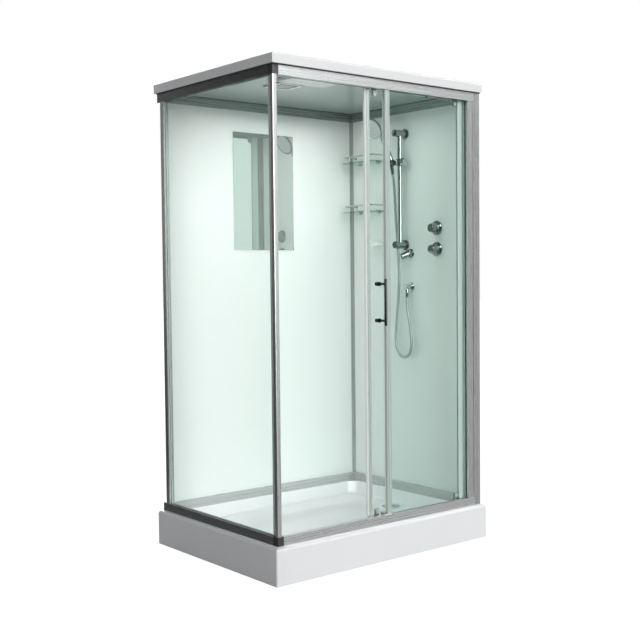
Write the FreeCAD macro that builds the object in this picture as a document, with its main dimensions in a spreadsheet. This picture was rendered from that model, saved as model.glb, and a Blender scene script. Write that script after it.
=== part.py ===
import FreeCAD, Part
import math
import os
from types import SimpleNamespace

import Sketcher
from FreeCAD import Placement, Rotation, Vector

# Shower cabin: a white tray and roof, an aluminium frame, clear glass at the left and front,
# two enamelled glass walls at the back and right, and a sliding door that hangs inside the front.
# Millimetres. The origin is at the bottom centre of the tray, the front faces -Y, up is +Z.

os.makedirs("parts", exist_ok=True)
doc = FreeCAD.newDocument("ShowerCabin")

# Driving dimensions
SIZES = {
    # whole cabin
    "cabin_length": 1200,
    "cabin_width": 900,
    "cabin_height": 2060,
    "frame_inset": 20,
    # tray
    "tray_height": 150,
    "tray_shell": 5,
    "tray_edge_round": 14,
    "tray_corner_round": 8,
    "basin_depth": 58,
    "basin_ledge": 15,
    "basin_draft": 14,
    "basin_corner_round": 60,
    "basin_floor_round": 14,
    "waste_inset": 120,
    "waste_bore_radius": 40,
    "flange_fit": 0.3,
    "flange_radius": 46,
    "flange_thick": 3,
    "flange_wall": 6,
    "cover_gap": 0.5,
    "cover_thick": 3,
    "cover_slot_long": 20,
    "cover_slot_wide": 4,
    "cover_slot_start": 6,
    "trap_radius": 46,
    "trap_wall": 4,
    "trap_clearance": 18,
    "trap_socket": 6,
    "waste_pipe_radius": 20,
    "waste_pipe_height": 38,
    "waste_pipe_recess": 2,
    "waste_nut_radius": 26,
    "waste_nut_reach": 300,
    "waste_nut_long": 28,
    "waste_notch_gap": 8,
    # support frame under the tray
    "support_tube": 25,
    "support_end_inset": 90,
    "support_side_inset": 190,
    "support_bar_gap": 7,
    "foot_rod_radius": 6,
    "foot_pad_radius": 24,
    "foot_pad_thick": 8,
    "foot_cone": 10,
    "nut_across": 20,
    "nut_thick": 9,
    # aluminium profiles
    "profile_gauge": 2,
    "bottom_rail_tall": 38,
    "top_rail_tall": 40,
    "front_rail_deep": 60,
    "left_rail_deep": 26,
    "right_post_wide": 40,
    "back_wall_setback": 25,
    "trim_deep": 14,
    "slot_floor": 6,
    "slot_wide": 9,
    "front_glass_setback": 15,
    "left_glass_setback": 10,
    "door_setback": 40,
    "track_setback": 53,
    "track_lip": 12,
    "bottom_rib_top": 16,
    "ledge_rise": 4,
    "ledge_tip": 48.5,
    "top_rib_top": 10,
    "corner_post_wide": 20,
    "corner_post_deep": 16,
    "corner_post_round": 4,
    "corner_slot_deep": 10,
    "joint_leg": 30,
    "joint_round": 7,
    "joint_notch": 11,
    "wall_profile_deep": 25,
    "rear_post_deep": 50,
    "cove_leg": 14,
    "post_groove": 1.5,
    "post_slot_deep": 20,
    "post_flange": 38,
    "post_flange_deep": 24,
    "post_lip": 9,
    "post_step": 3,
    # glass, walls and gaskets
    "glass_thick": 5,
    "wall_thick": 5,
    "gasket_thick": 2,
    "gasket_tall": 11,
    # fixed front panel
    "fixed_edge_reach": 11,
    "fixed_edge_wide": 26,
    "fixed_edge_front": 9,
    "fin_thick": 2,
    "fin_gap": 0.3,
    "clip_wide": 34,
    "clip_tall": 12,
    "clip_wall": 3,
    "clip_reach": 276,
    "guide_wide": 22,
    "guide_deep": 20,
    "guide_tall": 12,
    # sliding door
    "door_reach": -72,
    "door_end_gap": 30,
    "door_lead_wide": 17,
    "door_trail_wide": 36,
    "door_profile_deep": 14,
    "door_foot_gap": 8,
    "door_head_gap": 12,
    "door_edge_cover": 3,
    "seal_wide": 8,
    "seal_deep": 10,
    "seal_end_gap": 2,
    # rollers
    "roller_inset": 50,
    "wheel_radius": 11,
    "wheel_groove_radius": 9,
    "wheel_wide": 7,
    "wheel_groove_wide": 3.4,
    "wheel_lift": 0.3,
    "axle_radius": 3,
    "running_gap": 0.05,
    "axle_head": 1,
    "bracket_wide": 26,
    "bracket_thick": 3,
    "bracket_margin": 8,
    "bracket_tail": 12,
    "bolt_radius": 4,
    "bolt_clearance": 0.5,
    "bolt_drop": 14,
    "bolt_cap_radius": 10,
    "bolt_cap_thick": 2.8,
    # door handle
    "handle_height": 1090,
    "handle_spacing": 155,
    "handle_length": 198,
    "handle_radius": 6,
    "handle_reach": 0,
    "standoff_radius": 5,
    "washer_radius": 9,
    "washer_thick": 2,
    "inner_knob_radius": 8.5,
    "inner_knob_neck": 5,
    "inner_knob_long": 20,
    # roof
    "roof_skirt": 41,
    "roof_shell": 4,
    "roof_round": 8,
    "roof_left_overhang": 10,
    "roof_front_overhang": 15,
    "roof_back_overhang": 10,
    "ceiling_thick": 4,
    # fan and light
    "module_reach": -250,
    "fan_setback": -70,
    "fan_size": 110,
    "fan_tall": 28,
    "fan_bore_radius": 48,
    "fan_hub_radius": 20,
    "fan_hub_tall": 16,
    "fan_blade_gap": 3,
    "fan_blade_root": 14,
    "fan_blade_thick": 2,
    "fan_blade_rise": 12,
    "fan_shaft_radius": 2.5,
    "fan_motor_radius": 18,
    "fan_motor_tall": 6,
    "fan_strut_wide": 6,
    "grille_size": 126,
    "grille_thick": 6,
    "grille_bar": 4,
    "grille_gap": 6,
    "grille_border": 14,
    "vent_slot_long": 80,
    "vent_slot_wide": 6,
    "light_setback": -237,
    "light_length": 245,
    "light_width": 100,
    "light_tall": 16,
    "light_round": 5,
    "light_recess": 6,
    # riser rail
    "riser_offset": 37,
    "riser_setback": 10,
    "riser_radius": 12,
    "riser_top": 1880,
    "riser_bottom": 1347,
    "bracket_radius": 17,
    "bracket_nose": 38,
    "bracket_flange_radius": 25,
    "bracket_flange_thick": 5,
    "bracket_edge_round": 2,
    "riser_socket": 6,
    # slider, holder and clamp knob
    "slider_height": 1742,
    "slider_radius": 18,
    "slider_tall": 34,
    "slider_arm_radius": 12.5,
    "slider_arm_long": 4,
    "clamp_radius": 20,
    "clamp_long": 20,
    "clamp_flute_radius": 5,
    "clamp_edge": 2,
    "clamp_gap": 0.4,
    "holder_setback": 42,
    "holder_forward": 18,
    "holder_radius": 17,
    "holder_tall": 30,
    "holder_bore_top": 13.4,
    "holder_bore_foot": 11.6,
    "holder_mouth": 19,
    "holder_tilt": 12,
    "holder_boss_radius": 11,
    "holder_boss_thick": 5.4,
    "holder_gap": 0.4,
    "pivot_radius": 4,
    "pivot_long": 4,
    "stud_radius": 3,
    # hand shower
    "cone_top_radius": 13.3,
    "cone_foot_radius": 11.5,
    "grip_radius": 10.5,
    "neck_radius": 9.5,
    "grip_foot": 34,
    "head_height": 172,
    "head_reach": 84,
    "head_lean": 18,
    "head_radius": 57,
    "head_deep": 22,
    "face_radius": 50,
    "face_thick": 3,
    "nozzle_radius": 1.8,
    "nozzle_tall": 2,
    "nozzle_ring_inner": 18,
    "nozzle_ring_outer": 36,
    # hose, its nuts and the wall elbow
    "hose_radius": 7,
    "hose_lead": 36,
    "hose_nut_long": 22,
    "hose_nut_radius": 10,
    "hose_nut_foot_radius": 8.5,
    "elbow_setback": -25,
    "elbow_height": 1145,
    "elbow_forward": 28,
    "elbow_radius": 13,
    "elbow_flange_radius": 22,
    "elbow_flange_thick": 5,
    "elbow_drop": 25,
    "elbow_spout_radius": 10.5,
    # lower outlet
    "outlet_height": 1306,
    "outlet_radius": 15,
    "outlet_long": 42,
    "outlet_collar": 20,
    "outlet_forward": 45,
    "outlet_sideways": 28,
    "outlet_drop": 22,
    "outlet_bore_radius": 8,
    "outlet_bore_deep": 16,
    # mixer
    "mixer_setback": -200,
    "mixer_upper": 1421,
    "mixer_lower": 1322,
    "rosette_radius": 34,
    "rosette_thick": 8,
    "rosette_gap": 0.3,
    "knob_radius": 27,
    "knob_nose_radius": 20,
    "knob_long": 36,
    "knob_gap": 0.5,
    "knob_skirt": 8,
    "knob_scallop_radius": 15,
    "knob_scallop_reach": 37,
    "stem_radius": 5,
    "stem_long": 14,
    "neck_radius_mixer": 12,
    "valve_radius": 15,
    "valve_offset": 22,
    "valve_overhang": 32,
    "inlet_inset": 16,
    "inlet_radius": 10.5,
    "inlet_collar": 4,
    "inlet_long": 16,
    "pipe_radius": 7,
    "fitting_radius": 9.5,
    "pipe_hole_gap": 0.5,
    # glass shelves
    "shelf_upper_height": 1759,
    "shelf_lower_height": 1514,
    "shelf_thick": 6,
    "shelf_deep": 92,
    "shelf_long": 226,
    "shelf_setback": 29,
    "shelf_round": 16,
    "shelf_rail_rise": 28,
    "shelf_rail_radius": 3.5,
    "shelf_rail_inset": 8,
    "shelf_rail_bend": 16,
    "shelf_post_radius": 2.5,
    "shelf_foot_radius": 6,
    "shelf_foot_thick": 2.5,
    "shelf_clamp_radius": 9,
    "shelf_clamp_long": 22,
    "shelf_clamp_inset": 46,
    "shelf_clamp_bite": 14,
    # soap dish
    "dish_height": 1346,
    "dish_start": 147,
    "dish_long": 84,
    "dish_deep": 70,
    "dish_tall": 18,
    "dish_wall": 4,
    "dish_round": 16,
    # mirror
    "mirror_left": -194,
    "mirror_width": 351,
    "mirror_foot": 1329,
    "mirror_tall": 551,
    "mirror_thick": 5,
}

sheet = doc.addObject("Spreadsheet::Sheet", "Sizes")
for row, (name, value) in enumerate(SIZES.items(), start=1):
    sheet.set(f"A{row}", name)
    sheet.set(f"B{row}", str(value))
    sheet.setAlias(f"B{row}", name)
doc.recompute()


class Size:
    """A length taken from the sheet or worked out from it: its value, and the expression that binds it."""

    def __init__(self, value, text):
        self.value = float(value)
        self.text = text

    def __add__(self, other):
        return Size(self.value + other.value, f"({self.text} + {other.text})")

    def __sub__(self, other):
        return Size(self.value - other.value, f"({self.text} - {other.text})")

    def __neg__(self):
        return Size(-self.value, f"(0 - {self.text})")

    def __mul__(self, share):
        return Size(self.value * share, f"({self.text} * {share})")

    def __truediv__(self, parts):
        return Size(self.value / parts, f"({self.text} / {parts})")


# Places and curves given as parts of a length
BAY_SHARE = 0.42
HEXAGON_SHARE = 2 / math.sqrt(3)
WHEEL_GROOVE_SHARE = 0.7
INNER_KNOB_SHARES = (0.35, 0.5, 0.9)
INNER_KNOB_TIP_SHARE = 0.8
GRIP_END_SHARE = 0.95
STEM_SHARES = [(0.06, 0.32, 1, 0.25), (0.27, 0.56, 1.05, 0.5), (0.54, 0.78, 0.95, 0.65)]
STEM_ROOT_SHARES = (0.55, 0.38, 0.8, 0.65)
CROWN_SHARES = [(1, 0), (0.97, 0.25), (0.88, 0.5), (0.72, 0.74), (0.5, 0.91), (0.28, 1)]
HOSE_BEND_SHARE = 0.45
OUTLET_ROOT_SHARE = 0.5
KNOB_WAIST_SHARE = 0.93
SHELF_POST_SHARES = (0.2, 0.5, 0.8)
VENT_SLOTS = 7
COVER_SLOTS = 8
# How closely an edge must lie to a plane to be picked, and how closely where the side is drafted
TOUCH = 0.01
DRAFT_TOUCH = 0.1

d = SimpleNamespace(**{name: Size(value, f"Sizes.{name}") for name, value in SIZES.items()})
ZERO = Size(0, "0")
NODES = []
XY, XZ, YZ = "XY_Plane", "XZ_Plane", "YZ_Plane"


# Drawing helpers


def keep(obj, label):
    """Give a sub-part its label and list it among the pieces that are written out."""
    obj.Label = label
    NODES.append(obj)
    return obj


def new_body(label, listed=True):
    obj = doc.addObject("PartDesign::Body", label)
    return keep(obj, label) if listed else obj


def place(obj, x, y, z, axis=None, angle=0):
    """Turn an object, then bind its place to the sheet."""
    if axis is not None:
        obj.Placement = Placement(Vector(), Rotation(axis, angle))
    for name, size in (("x", x), ("y", y), ("z", z)):
        obj.setExpression(f"Placement.Base.{name}", size.text)
    return obj


def rect(x0, y0, x1, y1):
    return [(x0, y0), (x1, y0), (x1, y1), (x0, y1)]


def ring(x, y, radius):
    return ("ring", x, y, radius)


def pin_to_origin(drawing, index, place_on_line, x, y):
    """Bind a sketch point to its two distances from the sketch's origin."""
    for kind, size in (("DistanceX", x), ("DistanceY", y)):
        number = drawing.addConstraint(Sketcher.Constraint(kind, -1, 1, index, place_on_line, size.value))
        drawing.setExpression(f"Constraints[{number}]", size.text)


def draw(body, plane, loops, lift=None):
    """A sketch of closed loops on one of the body's own origin planes, lifted along its normal."""
    drawing = body.newObject("Sketcher::SketchObject", "Outline")
    support = next(f for f in body.Origin.OriginFeatures if f.Role == plane)
    drawing.AttachmentSupport = [(support, "")]
    drawing.MapMode = "FlatFace"
    if lift is not None:
        drawing.setExpression("AttachmentOffset.Base.z", lift.text)
    for loop in loops:
        if loop[0] == "ring":
            _, x, y, radius = loop
            centre = Vector(x.value, y.value, 0)
            circle = drawing.addGeometry(Part.Circle(centre, Vector(0, 0, 1), radius.value), False)
            pin_to_origin(drawing, circle, 3, x, y)
            number = drawing.addConstraint(Sketcher.Constraint("Radius", circle, radius.value))
            drawing.setExpression(f"Constraints[{number}]", radius.text)
            continue
        points = [Vector(x.value, y.value, 0) for x, y in loop]
        lines = [Part.LineSegment(a, b) for a, b in zip(points, points[1:] + points[:1])]
        first = drawing.addGeometry(lines, False)[0]
        count = len(loop)
        for i in range(count):
            nearby = first + (i + 1) % count
            drawing.addConstraint(Sketcher.Constraint("Coincident", first + i, 2, nearby, 1))
        for i, (x, y) in enumerate(loop):
            pin_to_origin(drawing, first + i, 1, x, y)
    return drawing


def pad(body, drawing, length, back=False, draft=0):
    feature = body.newObject("PartDesign::Pad", "Pad")
    feature.Profile = drawing
    feature.Reversed = back
    feature.TaperAngle = draft
    feature.setExpression("Length", length.text)
    return feature


def pocket(body, drawing, length, back=False, draft=0):
    feature = body.newObject("PartDesign::Pocket", "Pocket")
    feature.Profile = drawing
    feature.Reversed = back
    feature.TaperAngle = draft
    feature.setExpression("Length", length.text)
    return feature


def turn(body, drawing, axis="V_Axis"):
    feature = body.newObject("PartDesign::Revolution", "Turned")
    feature.Profile = drawing
    feature.ReferenceAxis = (drawing, [axis])
    feature.Angle = 360
    return feature


def edges_where(feature, test):
    """Names of a feature's edges that pass a test of their shape."""
    doc.recompute()
    return [f"Edge{i}" for i, edge in enumerate(feature.Shape.Edges, start=1) if test(edge)]


def fillet(body, feature, names, radius):
    rounded = body.newObject("PartDesign::Fillet", "Rounded")
    rounded.Base = (feature, names)
    rounded.setExpression("Radius", radius.text)
    doc.recompute()
    return rounded


def around(body, feature, count, axis="Z_Axis"):
    """Repeat a feature about one of the body's own origin axes."""
    pattern = body.newObject("PartDesign::PolarPattern", "Around")
    pattern.Originals = [feature]
    pattern.Axis = (next(f for f in body.Origin.OriginFeatures if f.Role == axis), [""])
    pattern.Angle = 360
    pattern.Occurrences = count
    body.Tip = pattern
    return pattern


def along(body, feature, axis, length, count):
    """Repeat a feature in a row along one of the body's own origin axes."""
    pattern = body.newObject("PartDesign::LinearPattern", "Row")
    pattern.Originals = [feature]
    pattern.Direction = (next(f for f in body.Origin.OriginFeatures if f.Role == axis), [""])
    pattern.Occurrences = count
    pattern.setExpression("Length", length.text)
    body.Tip = pattern
    return pattern


def extrusion(label, loops, length, x, y, z, yaw=0, listed=True):
    """A profile drawn across local Y and Z and run along local X, then turned about the vertical."""
    body = new_body(label, listed)
    pad(body, draw(body, YZ, loops), length)
    return place(body, x, y, z, Vector(0, 0, 1), yaw)


def upright(label, loops, height, x, y, z, listed=True):
    """A profile drawn in plan and run upwards."""
    body = new_body(label, listed)
    pad(body, draw(body, XY, loops), height)
    return place(body, x, y, z)


def turned(label, profile, x, y, z, axis=None, angle=0, listed=True):
    """A round piece: (radius, height) points turned about the local Z axis."""
    body = new_body(label, listed)
    turn(body, draw(body, XZ, [profile]))
    return place(body, x, y, z, axis, angle)


def copy_of(source, x, y, z, axis=None, angle=0):
    """A second piece of the same shape, at its own place."""
    link = doc.addObject("App::Link", "Copy")
    link.LinkedObject = source
    return place(link, x, y, z, axis, angle)


def group(label, members):
    """One node that holds several separate solids."""
    obj = doc.addObject("Part::Compound", label)
    obj.Links = members
    return keep(obj, label)


def solid(label, shape, x, y, z, axis=None, angle=0):
    """A free form that no sketch feature fits, made in local coordinates and then placed."""
    obj = doc.addObject("Part::Feature", label)
    obj.Shape = shape
    keep(obj, label)
    return place(obj, x, y, z, axis, angle)


def is_upright(edge):
    box = edge.BoundBox
    return box.ZLength > max(box.XLength, box.YLength)


def is_level_at(edge, height):
    box = edge.BoundBox
    return abs(box.ZMin - height.value) < TOUCH and abs(box.ZMax - height.value) < TOUCH


# Main planes of the cabin
half_long = d.cabin_length / 2
half_deep = d.cabin_width / 2
left = d.frame_inset - half_long
right = half_long - d.frame_inset
front = d.frame_inset - half_deep
back = half_deep - d.frame_inset
rim = d.tray_height
sill = rim + d.bottom_rail_tall
eaves = d.cabin_height - d.roof_skirt
lintel = eaves - d.top_rail_tall
right_wall = right - d.right_post_wide
back_wall = back - d.back_wall_setback
right_trim = right_wall - d.trim_deep
back_trim = back_wall - d.trim_deep
right_rail_deep = d.right_post_wide + d.trim_deep
back_rail_deep = d.back_wall_setback + d.trim_deep
front_inside = front + d.front_rail_deep
left_inside = left + d.left_rail_deep
clear_height = lintel - sill
gauge = d.profile_gauge
slot_front = d.front_glass_setback - d.slot_wide / 2
slot_back = d.front_glass_setback + d.slot_wide / 2
left_slot_near = d.left_glass_setback - d.slot_wide / 2
left_slot_far = d.left_glass_setback + d.slot_wide / 2
door_plane = front + d.door_setback
floor_top = rim - d.basin_depth
floor_under = floor_top - d.tray_shell
waste_x = right_wall - d.waste_inset
X_AXIS, Y_AXIS, Z_AXIS = Vector(1, 0, 0), Vector(0, 1, 0), Vector(0, 0, 1)


# Tray: one acrylic shell with a rounded rim, a drafted basin and a notch for the waste pipe


def make_tray():
    tray = new_body("tray")
    block = pad(tray, draw(tray, XY, [rect(-half_long, -half_deep, half_long, half_deep)]), rim)
    corners = fillet(tray, block, edges_where(block, is_upright), d.tray_corner_round)
    top_edges = edges_where(corners, lambda edge: is_level_at(edge, rim))
    fillet(tray, corners, top_edges, d.tray_edge_round)
    inner_long = half_long - d.tray_shell
    inner_deep = half_deep - d.tray_shell
    hollow = draw(tray, XY, [rect(-inner_long, -inner_deep, inner_long, inner_deep)])
    pocket(tray, hollow, rim - d.tray_edge_round, back=True)
    crown_long = inner_long - d.tray_edge_round
    crown_deep = inner_deep - d.tray_edge_round
    crown = draw(tray, XY, [rect(-crown_long, -crown_deep, crown_long, crown_deep)])
    pocket(tray, crown, rim - d.tray_shell, back=True)
    basin = (
        left_inside + d.basin_ledge,
        front_inside + d.basin_ledge,
        right_trim - d.basin_ledge,
        back_trim - d.basin_ledge,
    )
    shell = d.tray_shell
    outer = rect(basin[0] - shell, basin[1] - shell, basin[2] + shell, basin[3] + shell)
    draft = SIZES["basin_draft"]
    pad(tray, draw(tray, XY, [outer], rim - shell), d.basin_depth, back=True, draft=-draft)
    hollow = pocket(tray, draw(tray, XY, [rect(*basin)], rim), d.basin_depth, draft=-draft)
    doc.recompute()
    low, high = floor_top.value, rim.value

    def in_basin(edge):
        box = edge.BoundBox
        inside = abs(box.Center.x) < half_long.value - d.frame_inset.value
        return inside and abs(box.Center.y) < half_deep.value - d.frame_inset.value

    def is_basin_corner(edge):
        box = edge.BoundBox
        reaches = abs(box.ZMin - low) < DRAFT_TOUCH and abs(box.ZMax - high) < DRAFT_TOUCH
        return reaches and in_basin(edge)

    corners = fillet(tray, hollow, edges_where(hollow, is_basin_corner), d.basin_corner_round)

    def is_floor_edge(edge):
        return in_basin(edge) and is_level_at(edge, floor_top)

    fillet(tray, corners, edges_where(corners, is_floor_edge), d.basin_floor_round)
    bore = draw(tray, XY, [ring(waste_x, ZERO, d.waste_bore_radius)], rim)
    pocket(tray, bore, rim)
    notch_half = d.waste_pipe_radius + d.waste_notch_gap
    notch_top = d.waste_pipe_height + notch_half
    notch = rect(waste_x - notch_half, ZERO, waste_x + notch_half, notch_top)
    pocket(tray, draw(tray, XZ, [notch], -half_deep), d.tray_shell + d.tray_shell, back=True)


def make_tray_support():
    """Welded ladder frame of square tube under the floor, with feet on threaded rods."""
    tube = d.support_tube
    half_frame = d.cabin_length / 2 - d.support_end_inset
    half_wide = d.cabin_width / 2 - d.support_side_inset
    base = floor_under - tube
    middle = -half_frame + half_frame * 2 * BAY_SHARE
    third = waste_x - d.trap_radius - d.support_bar_gap - tube
    loops = [
        rect(-half_frame, -half_wide, half_frame, half_wide),
        rect(-half_frame + tube, -half_wide + tube, middle, half_wide - tube),
        rect(middle + tube, -half_wide + tube, third, half_wide - tube),
        rect(third + tube, -half_wide + tube, half_frame - tube, half_wide - tube),
    ]
    upright("tray_support_frame", loops, tube, ZERO, ZERO, base)
    rod, foot, thick = d.foot_rod_radius, d.foot_pad_radius, d.foot_pad_thick
    profile = [
        (ZERO, ZERO),
        (foot, ZERO),
        (foot, thick),
        (rod, thick + d.foot_cone),
        (rod, base),
        (ZERO, base),
    ]
    one_foot = turned("Foot", profile, ZERO, ZERO, ZERO, listed=False)
    nut = new_body("Nut", listed=False)
    half_nut = d.nut_across / 2
    corner = half_nut * HEXAGON_SHARE
    hexagon = [
        (corner, ZERO),
        (corner / 2, half_nut),
        (-corner / 2, half_nut),
        (-corner, ZERO),
        (-corner / 2, -half_nut),
        (corner / 2, -half_nut),
    ]
    pad(nut, draw(nut, XY, [hexagon, ring(ZERO, ZERO, rod)]), d.nut_thick)
    spread = half_wide - tube / 2
    spots = [
        (x, y)
        for x in (-half_frame + tube / 2, middle + tube / 2, half_frame - tube / 2)
        for y in (-spread, spread)
    ]
    feet = [copy_of(one_foot, x, y, ZERO) for x, y in spots]
    nuts = [copy_of(nut, x, y, base - d.nut_thick) for x, y in spots]
    group("levelling_feet", feet + nuts)


def make_waste():
    """Flange in the tray floor, slotted cover, and the trap with its pipe to the back."""
    inner = d.waste_bore_radius - d.flange_wall
    outer = d.waste_bore_radius - d.flange_fit
    flange = [
        (inner, floor_under),
        (outer, floor_under),
        (outer, floor_top),
        (d.flange_radius, floor_top),
        (d.flange_radius, floor_top + d.flange_thick / 2),
        (outer, floor_top + d.flange_thick),
        (inner + d.flange_thick, floor_top + d.flange_thick),
        (inner + d.flange_thick, floor_top),
        (inner, floor_top),
    ]
    turned("waste_flange", flange, waste_x, ZERO, ZERO)
    cover = new_body("waste_cover")
    disc = inner + d.flange_thick - d.cover_gap
    profile = [
        (ZERO, floor_top),
        (disc, floor_top),
        (disc, floor_top + d.cover_thick / 2),
        (disc - d.cover_thick, floor_top + d.cover_thick),
        (ZERO, floor_top + d.cover_thick),
    ]
    turn(cover, draw(cover, XZ, [profile]))
    half_slot = d.cover_slot_wide / 2
    start = d.cover_slot_start
    slot = rect(start, -half_slot, start + d.cover_slot_long, half_slot)
    cut = pocket(cover, draw(cover, XY, [slot], rim), rim)
    doc.recompute()
    around(cover, cut, COVER_SLOTS)
    place(cover, waste_x, ZERO, ZERO)
    trap = new_body("waste_trap")
    wall, body_radius = d.trap_wall, d.trap_radius
    foot = d.trap_clearance - wall
    section = [
        (ZERO, foot),
        (body_radius, foot),
        (body_radius, floor_under),
        (body_radius - wall, floor_under),
        (body_radius - wall, foot + wall),
        (ZERO, foot + wall),
    ]
    turn(trap, draw(trap, XZ, [section]))
    run = half_deep - d.waste_pipe_recess
    root = body_radius - d.trap_socket
    pipe = draw(trap, XZ, [ring(ZERO, d.waste_pipe_height, d.waste_pipe_radius)], -root)
    pad(trap, pipe, run - root, back=True)
    nut = draw(trap, XZ, [ring(ZERO, d.waste_pipe_height, d.waste_nut_radius)], -d.waste_nut_reach)
    pad(trap, nut, d.waste_nut_long, back=True)
    bore_radius = d.waste_pipe_radius - wall / 2
    bore = draw(trap, XZ, [ring(ZERO, d.waste_pipe_height, bore_radius)], -run)
    pocket(trap, bore, run - root + wall, back=True)
    place(trap, waste_x, ZERO, ZERO)


# Aluminium rails, posts and corner joints


def channel(deep, slot_start, slot_wide, tall, upside_down, hollows):
    """A rail's section: a box with a glazing slot, and the hollows of the extrusion."""
    floor = d.slot_floor
    far = slot_start + slot_wide
    if upside_down:
        root = tall - floor
        outline = [
            (ZERO, ZERO),
            (slot_start, ZERO),
            (slot_start, root),
            (far, root),
            (far, ZERO),
            (deep, ZERO),
            (deep, tall),
            (ZERO, tall),
        ]
    else:
        outline = [
            (ZERO, ZERO),
            (deep, ZERO),
            (deep, tall),
            (far, tall),
            (far, floor),
            (slot_start, floor),
            (slot_start, tall),
            (ZERO, tall),
        ]
    loops = [outline]
    if "outer" in hollows:
        loops.append(rect(gauge, gauge, slot_start - gauge, tall - gauge))
    if "inner" in hollows:
        loops.append(rect(far + gauge, gauge, deep - gauge, tall - gauge))
    return loops


def front_bottom_section():
    """Outer box, glazing slot, dry channel with the wheel's rib, and the inner drip lip."""
    tall, deep = d.bottom_rail_tall, d.front_rail_deep
    rib_near, rib_far = d.track_setback - gauge / 2, d.track_setback + gauge / 2
    outline = [
        (ZERO, ZERO),
        (deep, ZERO),
        (deep, d.track_lip),
        (deep - gauge, d.track_lip),
        (deep - gauge, gauge),
        (rib_far, gauge),
        (rib_far, d.bottom_rib_top),
        (rib_near, d.bottom_rib_top),
        (rib_near, gauge),
        (slot_back + gauge, gauge),
        (slot_back + gauge, tall),
        (slot_back, tall),
        (slot_back, d.slot_floor),
        (slot_front, d.slot_floor),
        (slot_front, tall),
        (ZERO, tall),
    ]
    return [outline, rect(gauge, gauge, slot_front - gauge, tall - gauge)]


def front_top_section():
    """The same rail upside down, whose inner wall carries the ledge and rib that the door hangs on."""
    tall, deep = d.top_rail_tall, d.front_rail_deep
    rib_near, rib_far = d.track_setback - gauge / 2, d.track_setback + gauge / 2
    shelf = d.ledge_rise + gauge
    outline = [
        (ZERO, ZERO),
        (slot_front, ZERO),
        (slot_front, tall - d.slot_floor),
        (slot_back, tall - d.slot_floor),
        (slot_back, ZERO),
        (slot_back + gauge, ZERO),
        (slot_back + gauge, tall - gauge),
        (deep - gauge, tall - gauge),
        (deep - gauge, shelf),
        (rib_far, shelf),
        (rib_far, d.top_rib_top),
        (rib_near, d.top_rib_top),
        (rib_near, shelf),
        (d.ledge_tip, shelf),
        (d.ledge_tip, d.ledge_rise),
        (deep, d.ledge_rise),
        (deep, tall),
        (ZERO, tall),
    ]
    return [outline, rect(gauge, gauge, slot_front - gauge, tall - gauge)]


def make_rails():
    front_start = left + d.joint_leg
    front_run = right_wall - front_start
    left_run = back - front - d.joint_leg
    right_run = back - front_inside
    back_run = right_trim - left_inside
    extrusion("bottom_rail_front", front_bottom_section(), front_run, front_start, front, rim)
    extrusion("top_rail_front", front_top_section(), front_run, front_start, front, lintel)
    for level, tall, z, flipped in (
        ("bottom", d.bottom_rail_tall, rim, False),
        ("top", d.top_rail_tall, lintel, True),
    ):
        side = channel(d.left_rail_deep, left_slot_near, d.slot_wide, tall, flipped, ("inner",))
        extrusion(f"{level}_rail_left", side, left_run, left, back, z, yaw=-90)
        panel_slot = d.back_wall_setback - d.wall_thick
        rear = channel(back_rail_deep, panel_slot, d.wall_thick, tall, flipped, ("outer", "inner"))
        panel_slot = d.right_post_wide - d.wall_thick
        end = channel(right_rail_deep, panel_slot, d.wall_thick, tall, flipped, ("outer", "inner"))
        group(f"{level}_wall_rails", [
            extrusion("WallRail", rear, back_run, right_trim, back, z, yaw=180, listed=False),
            extrusion("WallRail", end, right_run, right, front_inside, z, yaw=90, listed=False),
        ])


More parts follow.
